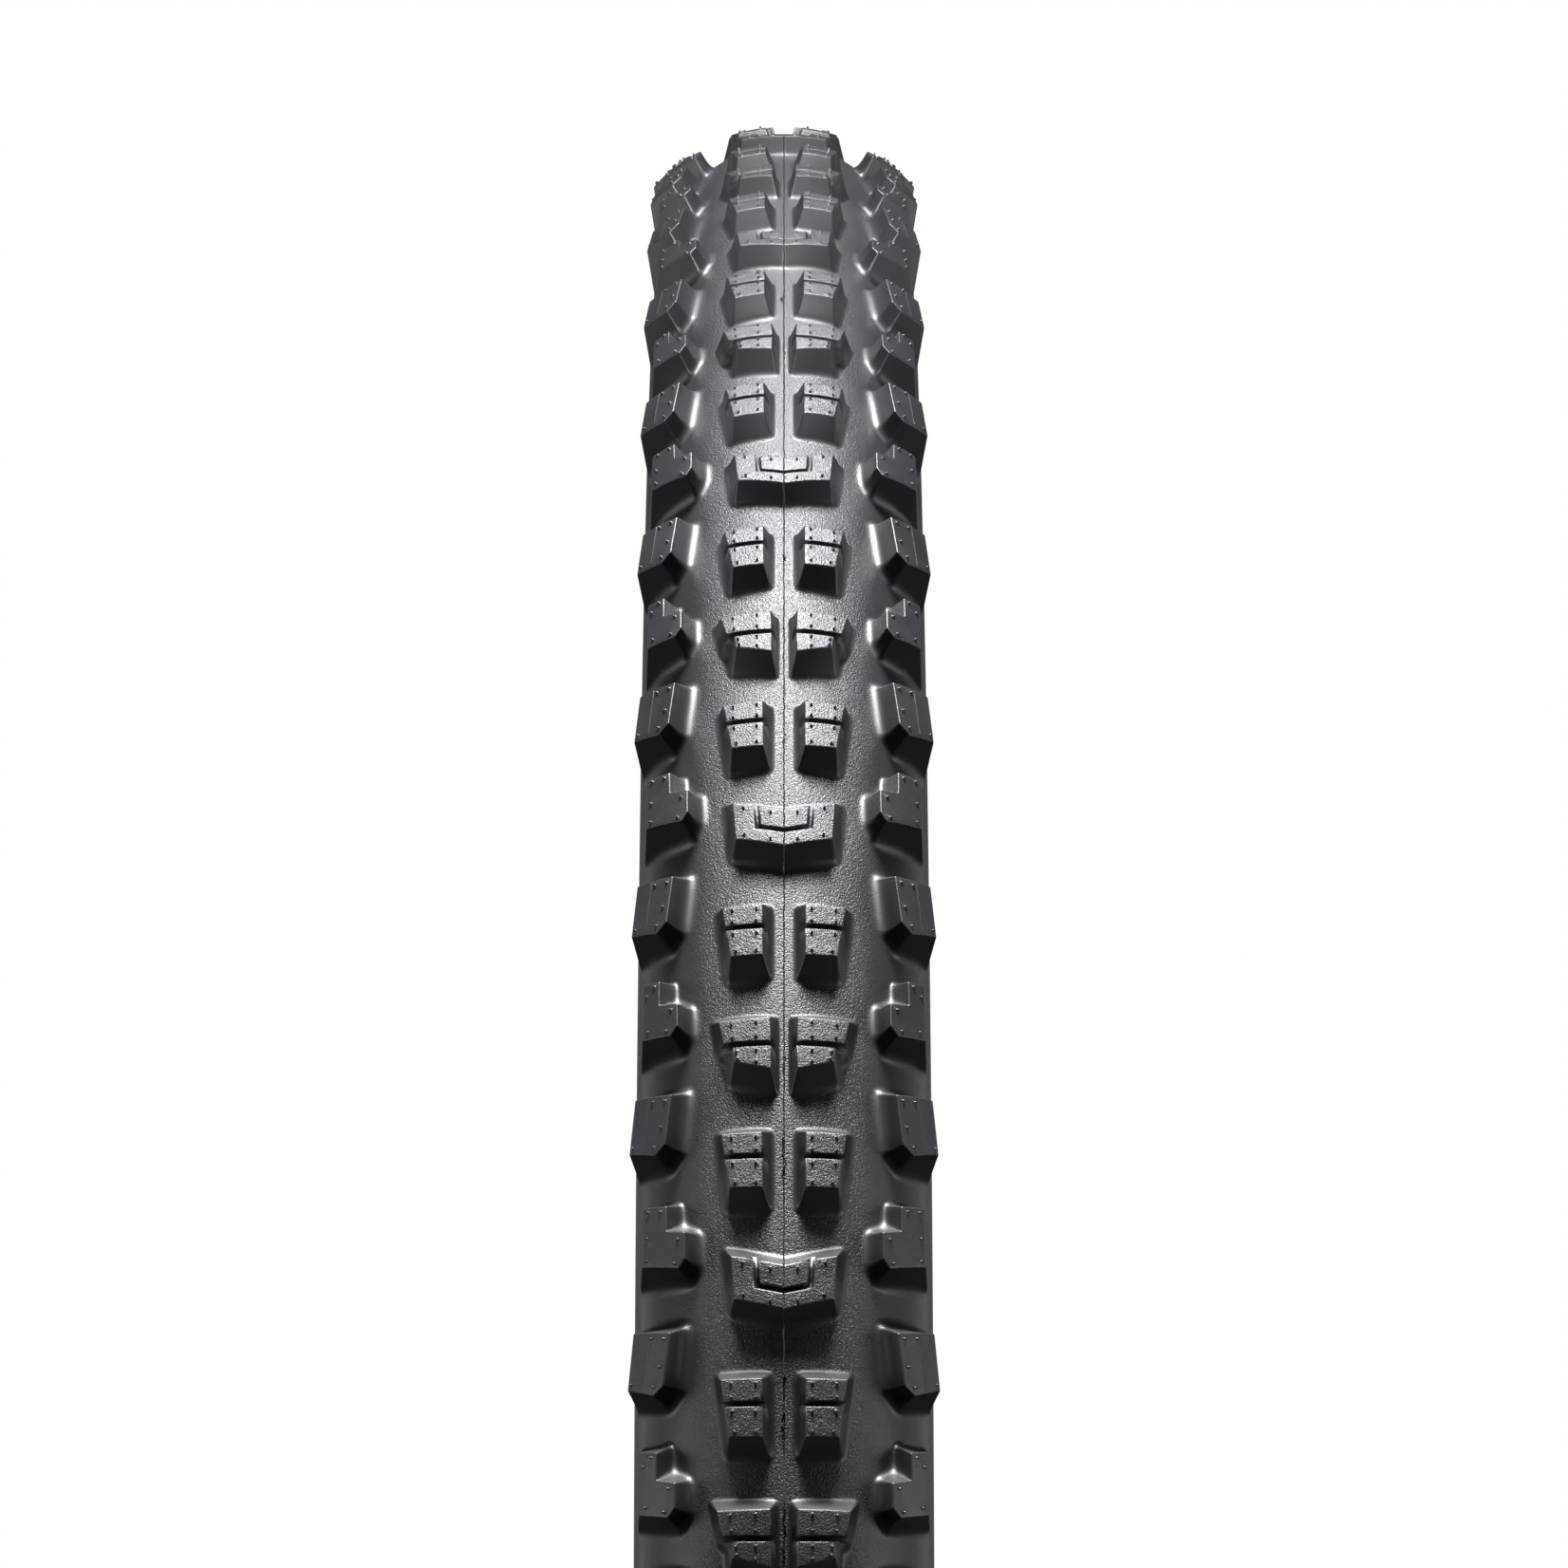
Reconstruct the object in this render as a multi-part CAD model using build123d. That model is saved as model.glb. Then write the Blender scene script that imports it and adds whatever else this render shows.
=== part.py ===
from build123d import *
import math
import os

# Bicycle tire, 58-622 class (29 x 2.3 in), knobbly tread, tire only.
# Frame: origin at the wheel centre, axle along Y, +Z up, right side at +Y.
# The centre knobs reach about z = -tread_radius at the bottom.
# Section points are (y, r): y along the axle, r the distance from the axle.
# phi is the section angle in degrees about the section centre, 0 at the crown.
# Lengths are in mm.

# ---------------------------------------------------------------- casing sizes
section_centre_r = 338.9        # section centre, distance from the axle
liner_t = 0.4
ply_t = 0.5
breaker_t = 0.4
tread_base_t = 0.5
skin_t = 0.9

# section radii of the faces between layers, from the air side outward
liner_in = 24.6
ply_in = liner_in + liner_t             # liner to inner ply
ply_between = ply_in + ply_t            # inner ply to outer ply
casing_out = ply_between + ply_t        # outside of both plies
turnup_out = casing_out + ply_t         # outside of the outer ply's turn-up
breaker_out = casing_out + breaker_t
skin_in = breaker_out + tread_base_t
skin_out = skin_in + skin_t
sidewall_out = 27.1
turnup_tip_t = 0.03                     # turn-up thickness at its tip
wing_tip_t = 0.12                       # tread wing thickness at its end

# section angles
phi_split = 32.2                # centre and shoulder tread meet
phi_bulge_start = 40.1
phi_breaker = 48.0              # breaker edge
phi_tread_base = 60.0           # tread base edge, sidewall rubber begins
phi_wing = 70.0                 # tread wing starts to thin
phi_wing_end = 78.0             # tread wing ends on the sidewall
phi_bulge_full = 84.3
phi_turnup_tip = 97.0
phi_turnup = 100.0              # ply turn-up at full thickness
phi_filler_tip = 116.0          # bead filler tip, also the end of the bulge
phi_heel = 142.5                # the outer face leaves the section circle
casing_bulge = 0.044            # the section is this much wider than round

# every layer is faceted at the same section angles, so the layers nest
stations = [0.0, 8.05, 16.1, 24.15, phi_split, phi_bulge_start, phi_breaker, 54.0,
            phi_tread_base, 65.0, phi_wing, phi_wing_end, phi_bulge_full, 90.7,
            phi_turnup_tip, phi_turnup, 108.0, phi_filler_tip, 121.0, 126.5, 132.0, 137.0]

# ---------------------------------------------------------------- bead sizes
bead_seat_radius = 622.0 / 2
rim_half_width = 30.0 / 2
toe = (9.9, 311.4)              # inner corner of the chafer
seat_y0, seat_y1 = 10.3, 14.7   # bead seat land
heel_chamfer = 0.3
heel_top_r = 316.6
liner_end_y = 10.1
liner_end_r = 313.5

pocket_y0, pocket_y1 = 11.1, 13.5       # bead pocket inside the inner ply
pocket_floor, pocket_top = 312.0, 316.0
pocket_chamfer = 0.3
core_radius = 0.95              # hexagon corners
filler_t = 1.1                  # filler thickness half way up

# ---------------------------------------------------------------- tread sizes
crown_centre_r = 332.5          # centre of the knob-top arc
crown_arc = 38.5                # radius of the knob-top arc
tread_radius = crown_centre_r + crown_arc
knob_root = 27.35               # section radius where knob roots stop

rows = 96                       # knob rows round the tire
rows_per_period = 4
pitch_deg = 360.0 / rows
phase_deg = 61.59               # row 0, measured from +X toward +Z
centre_cut_s = 36.0             # period ends, along the tread from row 0
shoulder_cut_s = 47.2
sipe_width = 0.85
sipe_depth = 1.6
pocket_depth = 0.9              # open pocket in the bar knob

# Knob outlines: (y, s) on the right half, s along the tread at tread_radius.
# "top" lies on the knob-top arc, "foot" on the tread skin.
# Centre knobs: the pair (rows 0 and 2), the inner pair (row 1), the bar (row -1).
pair_top = [(4.1, 5.0), (11.95, 5.1), (10.25, -6.0), (4.05, -6.2)]
pair_foot = [(2.15, 7.1), (12.9, 7.6), (10.9, -9.6), (2.15, -9.7)]
pair_sipe = [(3.0, 0.15), (13.0, 0.35)]

inner_top = [(2.6, 4.55), (12.5, 4.4), (11.25, -1.0), (9.75, -1.2), (9.5, -4.4), (2.5, -6.3)]
inner_foot = [(0.9, 6.9), (14.3, 7.6), (12.3, -2.6), (10.9, -2.9), (10.6, -7.7), (0.85, -10.3)]
inner_sipe = [(1.5, -0.95), (13.0, -0.6)]

bar_top = [(0.0, 2.6), (10.0, 4.75), (9.35, -3.8), (0.0, -6.05)]
bar_foot = [(0.0, 5.15), (11.65, 8.3), (10.3, -6.0), (0.0, -8.85)]
bar_pocket = [(0.0, -2.9), (5.4, -1.7), (5.75, 7.0), (0.0, 7.0)]

# Shoulder knobs in the rows of the pair, the bar and the inner pair.
pair_shoulder_top = [(21.4, 15.4), (28.35, 16.9), (29.3, 5.7), (24.55, 3.5), (22.6, 5.3)]
pair_shoulder_foot = [(17.8, 18.3), (26.9, 19.4), (27.2, 3.9), (21.0, 1.9), (19.0, 4.3)]

bar_shoulder_top = [(22.2, 16.7), (25.9, 17.5), (25.7, 5.5), (19.85, 3.6),
                    (18.65, 5.4), (18.65, 10.7), (22.15, 11.6)]
bar_shoulder_foot = [(19.5, 19.3), (26.6, 19.9), (26.7, 4.4), (17.0, 1.4),
                     (15.6, 4.2), (15.6, 12.4), (19.3, 14.2)]

inner_shoulder_top = [(23.8, 16.6), (26.3, 17.3), (26.3, 4.9), (21.7, 3.8),
                      (20.3, 5.6), (20.3, 10.4), (23.85, 11.3)]
inner_shoulder_foot = [(20.9, 19.4), (26.8, 19.8), (26.9, 3.9), (18.7, 1.5),
                       (17.2, 4.2), (17.2, 12.1), (20.8, 14.2)]


# ---------------------------------------------------------------- section helpers
def bulge(phi):
    """Widening of the section: none at the crown and at the beads."""
    angle = abs(phi)
    if angle < phi_bulge_full:
        t = (angle - phi_bulge_start) / (phi_bulge_full - phi_bulge_start)
    else:
        t = (phi_filler_tip - angle) / (phi_filler_tip - phi_bulge_full)
    t = min(1.0, max(0.0, t))
    return 1.0 + casing_bulge * t * t * (3 - 2 * t)


def at(radius, phi):
    """Section point (y, r) at a section radius and angle."""
    angle = math.radians(phi)
    wide = radius * bulge(phi)
    return (wide * math.sin(angle), section_centre_r + wide * math.cos(angle))


def arc(radius, phi0, phi1):
    """Points along a section circle, at both ends and the shared stations between."""
    low, high = min(phi0, phi1), max(phi0, phi1)
    angles = [low] + [p for p in stations if low + 0.5 < p < high - 0.5] + [high]
    if phi1 < phi0:
        angles.reverse()
    return [at(radius, p) for p in angles]


def lines(points, side=1):
    """Straight edges through section points, drawn with x = r and y = side * y."""
    corners = [Vector(r, side * y, 0) for y, r in points]
    return [Line(a, b) for a, b in zip(corners, corners[1:])]


def closed(points, side=1):
    """Closed outline on one side of the tire."""
    return Wire(lines(points + points[:1], side))


def both_sides(half):
    """Closed outline of a half section, crown to crown, and its mirror image."""
    return Wire(lines(half, 1) + lines(half, -1))


def ring(outline):
    return revolve(Face(outline), Axis.Y, 360)


# ---------------------------------------------------------------- bead points
# "low" points are level with the top of the bead pocket or just above it;
# "mid" points lie on one line across the wall, half way up the filler.
filler_tip = at(ply_between, phi_filler_tip)
air_low = (10.15, 316.4)
liner_low = (10.6, 316.2)
filler_in_low = (pocket_y0, pocket_top)
filler_out_low = (pocket_y1, pocket_top)
turnup_low = (pocket_y1 + ply_t, pocket_top)
casing_low = (pocket_y1 + 2 * ply_t, pocket_top)

filler_in_mid = (0.5 * (filler_tip[0] + filler_in_low[0]),
                 0.5 * (filler_tip[1] + filler_in_low[1]))
rise_y = filler_tip[0] - filler_in_low[0]
rise_r = filler_tip[1] - filler_in_low[1]
rise = math.hypot(rise_y, rise_r)
across = (rise_r / rise, -rise_y / rise)        # unit normal, toward the outside


def mid_point(distance):
    """Point on the mid line, at a distance outward from the filler's inner face."""
    return (filler_in_mid[0] + across[0] * distance, filler_in_mid[1] + across[1] * distance)


def outer_mid_phi():
    """Section angle where the mid line meets the outer section circle."""
    y, r = filler_in_mid[0], filler_in_mid[1] - section_centre_r
    along = y * across[0] + r * across[1]
    distance = -along + math.sqrt(along ** 2 - y ** 2 - r ** 2 + sidewall_out ** 2)
    y, r = mid_point(distance)
    return math.degrees(math.atan2(y, r - section_centre_r))


air_mid = mid_point(-ply_t - liner_t)
liner_mid = mid_point(-ply_t)
filler_out_mid = mid_point(filler_t)
turnup_mid = mid_point(filler_t + ply_t)
casing_mid = mid_point(filler_t + 2 * ply_t)
phi_outer_mid = outer_mid_phi()

# outlines down one wall, under the bead and up the other
pocket = [filler_in_low,
          (pocket_y0, pocket_floor + pocket_chamfer),
          (pocket_y0 + pocket_chamfer, pocket_floor),
          (pocket_y1 - pocket_chamfer, pocket_floor),
          (pocket_y1, pocket_floor + pocket_chamfer),
          filler_out_low]
ply_foot = [(pocket_y0 - ply_t, pocket_floor),
            (pocket_y0, pocket_floor - ply_t),
            (pocket_y1, pocket_floor - ply_t),
            (pocket_y1 + ply_t, pocket_floor)]
casing_foot = (pocket_y1 + 2 * ply_t, pocket_floor)
liner_end = [(liner_end_y, liner_end_r), (pocket_y0 - ply_t, liner_end_r)]


# ---------------------------------------------------------------- layers
def inner_liner():
    return ring(both_sides(
        arc(liner_in, 0, phi_filler_tip)
        + [air_mid, air_low, *liner_end, liner_low, liner_mid]
        + arc(ply_in, phi_filler_tip, 0)))


def casing_ply_inner():
    """Ply wrapped under the bead; its turn-up closes on it above the filler.
    The filler and the bead sit in the pocket between them."""
    outline = both_sides(
        arc(ply_in, 0, phi_filler_tip)
        + [liner_mid, liner_low, *ply_foot, turnup_low, turnup_mid]
        + arc(casing_out, phi_filler_tip, phi_turnup)
        + [at(ply_between + turnup_tip_t, phi_turnup_tip), at(ply_between, phi_turnup_tip)]
        + arc(ply_between, phi_turnup_tip - 1.0, 0))
    hole = [filler_tip, filler_in_mid, *pocket, filler_out_mid]
    return revolve(Face(outline, [closed(hole, 1), closed(hole, -1)]), Axis.Y, 360)


def casing_ply_outer():
    return ring(both_sides(
        arc(ply_between, 0, phi_turnup_tip)
        + [at(ply_between + turnup_tip_t, phi_turnup_tip)]
        + arc(casing_out, phi_turnup, phi_filler_tip)
        + [turnup_mid, turnup_low, ply_foot[-1], casing_foot, casing_low, casing_mid]
        + arc(turnup_out, phi_filler_tip, phi_turnup)
        + arc(casing_out, phi_turnup_tip, 0)))


def breaker_belt():
    return ring(both_sides(arc(casing_out, 0, phi_breaker) + arc(breaker_out, phi_breaker, 0)))


def tread_base():
    return ring(both_sides(
        arc(breaker_out, 0, phi_breaker)
        + arc(casing_out, phi_breaker, phi_tread_base)
        + arc(skin_in, phi_tread_base, 0)))


def sidewall_rubber(side):
    return ring(closed(
        arc(casing_out, phi_tread_base, phi_turnup_tip)
        + arc(turnup_out, phi_turnup, phi_filler_tip)
        + [casing_mid]
        + arc(sidewall_out, phi_outer_mid, phi_tread_base), side))


def chafer(side):
    return ring(closed(
        arc(sidewall_out, phi_heel, phi_outer_mid)
        + [casing_mid, casing_low, casing_foot, *ply_foot[::-1], *liner_end[::-1], toe,
           (seat_y0, bead_seat_radius), (seat_y1, bead_seat_radius),
           (rim_half_width, bead_seat_radius + heel_chamfer),
           (rim_half_width, heel_top_r)], side))


def bead_filler(side):
    return ring(closed([filler_tip, filler_in_mid, filler_in_low,
                        filler_out_low, filler_out_mid], side))


def bead_core(side):
    """Hexagonal core in the middle of the bead pocket."""
    y = 0.5 * (pocket_y0 + pocket_y1)
    r = 0.5 * (pocket_floor + pocket_top)
    angles = [math.radians(60 * i) for i in range(6)]
    return ring(closed([(y + core_radius * math.cos(a), r + core_radius * math.sin(a))
                        for a in angles], side))


def bead_rubber(side):
    return ring(closed(pocket, side)) - bead_core(side)


# ---------------------------------------------------------------- knobs
# Knobs are built about +X and then turned to their rows; +s runs toward +Z.
def wrapped(y, s, centre_r, radius):
    """Point at (y, s) on a surface of revolution with a round crown."""
    r = centre_r + math.sqrt(radius ** 2 - y ** 2)
    angle = s / tread_radius
    return Vector(r * math.cos(angle), y, r * math.sin(angle))


def top_point(y, s):
    return wrapped(y, s, crown_centre_r, crown_arc)


def foot_point(y, s):
    return wrapped(y, s, section_centre_r, skin_out)


def meet(*planes):
    """Point where three planes (normal, distance) meet."""
    (n1, d1), (n2, d2), (n3, d3) = planes
    c23, c31, c12 = n2.cross(n3), n3.cross(n1), n1.cross(n2)
    return (c23 * d1 + c31 * d2 + c12 * d3) * (1 / n1.dot(c23))


def top_plane(top):
    """Plane (unit normal, distance) that fits the top corners best."""
    points = [top_point(*p) for p in top]
    middle = sum(points, Vector(0, 0, 0)) * (1 / len(points))
    offsets = [p - middle for p in points]
    # least squares for x = a y + b z about the middle
    yy = sum(o.Y * o.Y for o in offsets)
    zz = sum(o.Z * o.Z for o in offsets)
    yz = sum(o.Y * o.Z for o in offsets)
    xy = sum(o.X * o.Y for o in offsets)
    xz = sum(o.X * o.Z for o in offsets)
    det = yy * zz - yz * yz
    a = (xy * zz - xz * yz) / det
    b = (xz * yy - xy * yz) / det
    normal = Vector(1, -a, -b).normalized()
    return normal, normal.dot(middle)


def prism(top, foot, tilt):
    """Drafted block with a flat top: every wall is one plane through two top
    corners and the middle of the foot edge below them. The base is square to
    a line tilted from +X toward +Y, 1 mm below the lowest foot corner."""
    axis = Vector(math.cos(math.radians(tilt)), math.sin(math.radians(tilt)), 0)
    tops = [top_point(*p) for p in top]
    feet = [foot_point(*p) for p in foot]
    count = len(tops)
    walls = []
    for i in range(count):
        j = (i + 1) % count
        foot_middle = (feet[i] + feet[j]) * 0.5
        normal = (tops[j] - tops[i]).cross(foot_middle - tops[i])
        walls.append((normal, normal.dot(tops[i])))
    cap = top_plane(top)
    base = (axis, min(axis.dot(p) for p in feet) - 1.0)
    upper = [meet(walls[i - 1], walls[i], cap) for i in range(count)]
    lower = [meet(walls[i - 1], walls[i], base) for i in range(count)]
    loops = [upper, lower]
    for i in range(count):
        j = (i + 1) % count
        loops.append([upper[i], upper[j], lower[j], lower[i]])
    return Solid(Shell([Face(Wire.make_polygon(loop, close=True)) for loop in loops]))


def make_knob_zone():
    """Sector outside the knob roots, about +X."""
    half_width = 34.0
    half_angle = 6.0
    outer_r = tread_radius + 9.0
    angles = [p for p in stations if p < 95]
    roots = [at(knob_root, -p) for p in angles[:0:-1]] + [at(knob_root, p) for p in angles]
    outline = [(-half_width, roots[0][1]), *roots, (half_width, roots[-1][1]),
               (half_width, outer_r), (-half_width, outer_r)]
    face = Face(closed(outline)).rotate(Axis.Y, half_angle)
    return revolve(face, Axis.Y, -2 * half_angle)


knob_zone = make_knob_zone()


def sipe_cutter(ends):
    """Box for a straight slot, square to the top arc at the slot's middle."""
    (y0, s0), (y1, s1) = ends
    y_mid, s_mid = 0.5 * (y0 + y1), 0.5 * (s0 + s1)
    span = top_point(y1, s1) - top_point(y0, s0)
    x_dir = span.normalized()
    tilt = math.asin(y_mid / crown_arc)
    z_dir = Vector(math.cos(tilt), math.sin(tilt), 0)
    z_dir = (z_dir - x_dir * z_dir.dot(x_dir)).normalized()
    plane = Plane(origin=top_point(y_mid, s_mid), x_dir=x_dir, z_dir=z_dir)
    return plane * Box(span.length, sipe_width, 2 * sipe_depth)


def knob(top, foot, tilt, sipe=None):
    block = prism(top, foot, tilt) & knob_zone
    if sipe is not None:
        block = block - sipe_cutter(sipe)
    return block


def bar_half():
    """Right half of the bar knob, cut by its open pocket."""
    half = knob(bar_top, bar_foot, 0)
    normal, distance = top_plane(bar_top)
    floor = Plane(origin=normal * (distance - pocket_depth), z_dir=normal)
    above = floor * Box(120, 120, 12, align=(Align.CENTER, Align.CENTER, Align.MIN))
    outline = [Vector(tread_radius - 5, y, s) for y, s in bar_pocket]
    column = extrude(Face(Wire.make_polygon(outline, close=True)), amount=9, dir=(1, 0, 0))
    return half - (column & above)


def turned(shape, row):
    return shape.rotate(Axis.Y, -(phase_deg - pitch_deg * row))


def both(shape):
    return [shape, shape.mirror(Plane.XZ)]


# ---------------------------------------------------------------- tread
def whole_ring(section, knobs, cut_s):
    """One four-row period with its knobs, repeated round the tire and sewn."""
    period = rows_per_period * pitch_deg
    start = -(phase_deg + math.degrees(cut_s / tread_radius))
    sector = revolve(Face(section).rotate(Axis.Y, start), Axis.Y, period).solids()[0]
    solids = [solid for k in knobs for solid in k.solids()]
    body = sector.fuse(*solids).solids()[0]
    end_normals = [Vector(math.sin(math.radians(a)), 0, math.cos(math.radians(a)))
                   for a in (start, start + period)]
    # drop the two cut faces, so that the copies join into one shell
    skin = [f for f in body.faces()
            if min(abs(f.center().dot(n)) for n in end_normals) >= 1e-4]
    around = [f.rotate(Axis.Y, i * period)
              for i in range(rows // rows_per_period) for f in skin]
    return Solid(Shell(around))


def tread_center():
    section = both_sides(arc(skin_in, 0, phi_split) + arc(skin_out, phi_split, 0))
    pair = both(knob(pair_top, pair_foot, 12, pair_sipe))
    inner_pair = both(knob(inner_top, inner_foot, 12, inner_sipe))
    knobs = ([turned(k, row) for row in (0, 2) for k in pair]
             + [turned(k, 1) for k in inner_pair]
             + [turned(k, -1) for k in both(bar_half())])
    return whole_ring(section, knobs, centre_cut_s)


def tread_shoulder():
    """Right shoulder tread, thinning to a wing over the sidewall."""
    section = closed(
        arc(skin_in, phi_split, phi_tread_base)
        + arc(sidewall_out, phi_tread_base, phi_wing_end)
        + [at(sidewall_out + wing_tip_t, phi_wing_end)]
        + arc(skin_out, phi_wing, phi_split))
    pair_knob = knob(pair_shoulder_top, pair_shoulder_foot, 45)
    knobs = [turned(pair_knob, 0), turned(pair_knob, 2),
             turned(knob(inner_shoulder_top, inner_shoulder_foot, 40), 1),
             turned(knob(bar_shoulder_top, bar_shoulder_foot, 40), -1)]
    return whole_ring(section, knobs, shoulder_cut_s)


# ---------------------------------------------------------------- output
shoulder_right, shoulder_left = both(tread_shoulder())
parts = {
    "inner_liner": inner_liner(),
    "casing_ply_inner": casing_ply_inner(),
    "casing_ply_outer": casing_ply_outer(),
    "breaker_belt": breaker_belt(),
    "tread_base": tread_base(),
    "tread_center": tread_center(),
    "tread_shoulder_left": shoulder_left,
    "tread_shoulder_right": shoulder_right,
}
for side_name, side in (("left", -1), ("right", 1)):
    for build in (sidewall_rubber, chafer, bead_filler, bead_core, bead_rubber):
        parts[f"{build.__name__}_{side_name}"] = build(side)

os.makedirs("parts", exist_ok=True)
for name, shape in parts.items():
    shape.label = name
    export_step(shape, f"parts/{name}.step")
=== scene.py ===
# A knobbly motorcycle tire standing upright: the axle is the Y axis through the
# origin, +Z is up, +Y is the right-hand side and the camera looks along -X.
# The scene is in metres; sizes below are in millimetres unless a name says otherwise.
#
# The tread is built in (r, y, s): distance from the axle, place across the tire,
# and arc length at the tread radius, growing from +X toward +Z. "Flat" points are
# (a, s) on the skin, with a the lateral arc length, or (y, s) on the knob tops.
import math
from collections import Counter, namedtuple

import bpy
import numpy as np
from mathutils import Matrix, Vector
from mathutils.geometry import delaunay_2d_cdt


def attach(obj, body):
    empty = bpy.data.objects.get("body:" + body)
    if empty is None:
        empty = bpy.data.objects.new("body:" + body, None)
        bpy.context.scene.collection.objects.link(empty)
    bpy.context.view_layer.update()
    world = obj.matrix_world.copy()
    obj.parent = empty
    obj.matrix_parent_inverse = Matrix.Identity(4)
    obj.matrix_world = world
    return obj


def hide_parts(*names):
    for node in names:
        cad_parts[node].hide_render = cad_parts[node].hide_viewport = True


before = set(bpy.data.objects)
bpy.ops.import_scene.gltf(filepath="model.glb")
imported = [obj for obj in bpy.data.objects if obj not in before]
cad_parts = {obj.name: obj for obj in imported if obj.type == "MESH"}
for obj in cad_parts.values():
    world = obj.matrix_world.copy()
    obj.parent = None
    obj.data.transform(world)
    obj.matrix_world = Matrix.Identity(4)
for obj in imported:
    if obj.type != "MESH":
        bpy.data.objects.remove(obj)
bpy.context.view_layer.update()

# ------------------------------------------------------------------ sizes
TREAD_R = 371.0            # knob tops at the centreline, from the axle
SECTION_R = 338.9          # centre of the section circle, from the axle
SKIN_R = 27.8              # tread skin, about the section centre
UNDER_R = 27.1             # underside of the tread strips
EDGE_THICK = 0.1           # strip thickness left at its outer edge
SKIN_FADE_DEG = 66         # section angle where the strip starts to thin
SKIN_END_DEG = 82          # section angle of the strip's outer edge
SKIN_END = SKIN_R * math.radians(SKIN_END_DEG)
TOP_ARC_R = 38.5           # arc that the knob tops lie on
TOP_CENTRE_R = TREAD_R - TOP_ARC_R

# the casing is wider than round: none at the first angle, most at the second
BULGE = 0.044
BULGE_START, BULGE_PEAK, BULGE_END = 40.1, 84.3, 116.0

ROWS = 96
ROWS_PER_PERIOD = 4
PITCH = 2 * math.pi * TREAD_R / ROWS
PERIOD = ROWS_PER_PERIOD * PITCH
START_ANGLE = math.radians(61.59)      # where s = 0 lies around the axle
STEPS = 48                 # strip edge segments in one period
STEP = PERIOD / STEPS
CENTER_CUT = 36.0          # s where a period of the centre strip starts
SHOULDER_CUT = CENTER_CUT + 5 * STEP

BEVEL = 0.26               # rounded edge of the knob tops
EDGE_SPACING = 2.3         # samples along knob outlines
CUT_SPACING = 2.0          # samples along the cuts between towers
SKIN_GRID, TOP_GRID, FLOOR_GRID = 2.3, 2.2, 1.6    # fill point spacing
GRID_CLEAR = 0.55          # fill points keep this share of spacing from loops

NUB_FOOT_R, NUB_NECK_R = 0.30, 0.21    # small six-sided studs on the knob tops
NUB_NECK_H, NUB_H = 0.42, 0.50
NUB_TURN_DEG = 17
NUB_MARGIN = 0.34          # least distance from a nub's centre to the edge
RIDGE_FOOT, RIDGE_CREST = 0.13, 0.05   # half widths of the raised line
RIDGE_H = 0.12
RIDGE_STATIONS = 7

# (s, y) line where the centre and shoulder strips meet, over one period
SPLIT_S, SPLIT_Y = zip(
    (0.0, 14.6), (5.0, 14.3), (PITCH - 8, 13.1), (PITCH + 14, 13.1), (PITCH + 19, 14.0),
    (2 * PITCH, 14.6), (2 * PITCH + 10, 14.7), (3 * PITCH - 11, 15.25),
    (3 * PITCH + 10, 15.25), (3 * PITCH + 16, 14.9), (PERIOD, 14.6))


# ------------------------------------------------------------------ surfaces
def bulge(phi):
    """Factor on the section radius at section angle phi."""
    angle = np.degrees(np.abs(phi))
    t = np.where(angle < BULGE_PEAK,
                 (angle - BULGE_START) / (BULGE_PEAK - BULGE_START),
                 (BULGE_END - angle) / (BULGE_END - BULGE_PEAK))
    t = np.clip(t, 0, 1)
    return 1 + BULGE * t * t * (3 - 2 * t)


def skin_radius(phi):
    fade = math.radians(SKIN_END_DEG - SKIN_FADE_DEG)
    t = np.clip((np.abs(phi) - math.radians(SKIN_FADE_DEG)) / fade, 0, 1)
    return (SKIN_R - (SKIN_R - UNDER_R - EDGE_THICK) * t * t * (3 - 2 * t)) * bulge(phi)


PHI_TABLE = np.radians(np.linspace(0, 86, 1721))
Y_TABLE = skin_radius(PHI_TABLE) * np.sin(PHI_TABLE)


def section_points(radius, phi, s):
    return np.stack([SECTION_R + radius * np.cos(phi), radius * np.sin(phi), s], -1)


def skin_points(flat):
    """(r, y, s) on the tread skin from flat (a, s)."""
    phi = flat[:, 0] / SKIN_R
    return section_points(skin_radius(phi), phi, flat[:, 1])


def under_points(flat):
    """(r, y, s) on the strips' underside from flat (a, s)."""
    phi = flat[:, 0] / SKIN_R
    return section_points(UNDER_R * bulge(phi), phi, flat[:, 1])


def top_points(flat, drop=0.0):
    """(r, y, s) on the knob tops from flat (y, s), sunk by drop along the normal."""
    y = flat[:, 0]
    cosine = np.sqrt(np.maximum(TOP_ARC_R ** 2 - y ** 2, 0)) / TOP_ARC_R
    return np.stack([TOP_CENTRE_R + (TOP_ARC_R - drop) * cosine,
                     (TOP_ARC_R - drop) * y / TOP_ARC_R, flat[:, 1]], -1)


def flat_on_top(point):
    """Flat (y, s) of a point sunk below the knob-top arc."""
    r, y, s = point
    return y * TOP_ARC_R / math.hypot(r - TOP_CENTRE_R, y), s


def lateral(y):
    """Lateral arc length of the skin at y."""
    return np.sign(y) * SKIN_R * np.interp(np.abs(y), Y_TABLE, PHI_TABLE)


def split_lateral(s):
    return lateral(np.interp((s + 2 * PERIOD) % PERIOD, SPLIT_S, SPLIT_Y))


# ------------------------------------------------------------------ loops in the plane
def signed_area(loop):
    p = np.array(loop)
    q = np.roll(p, -1, 0)
    return 0.5 * np.sum(p[:, 0] * q[:, 1] - q[:, 0] * p[:, 1])


def double_area(a, b, c):
    return (b[0] - a[0]) * (c[1] - a[1]) - (b[1] - a[1]) * (c[0] - a[0])


def bezier(start, middle, end, t):
    return (1 - t) ** 2 * start + 2 * t * (1 - t) * middle + t * t * end


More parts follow.
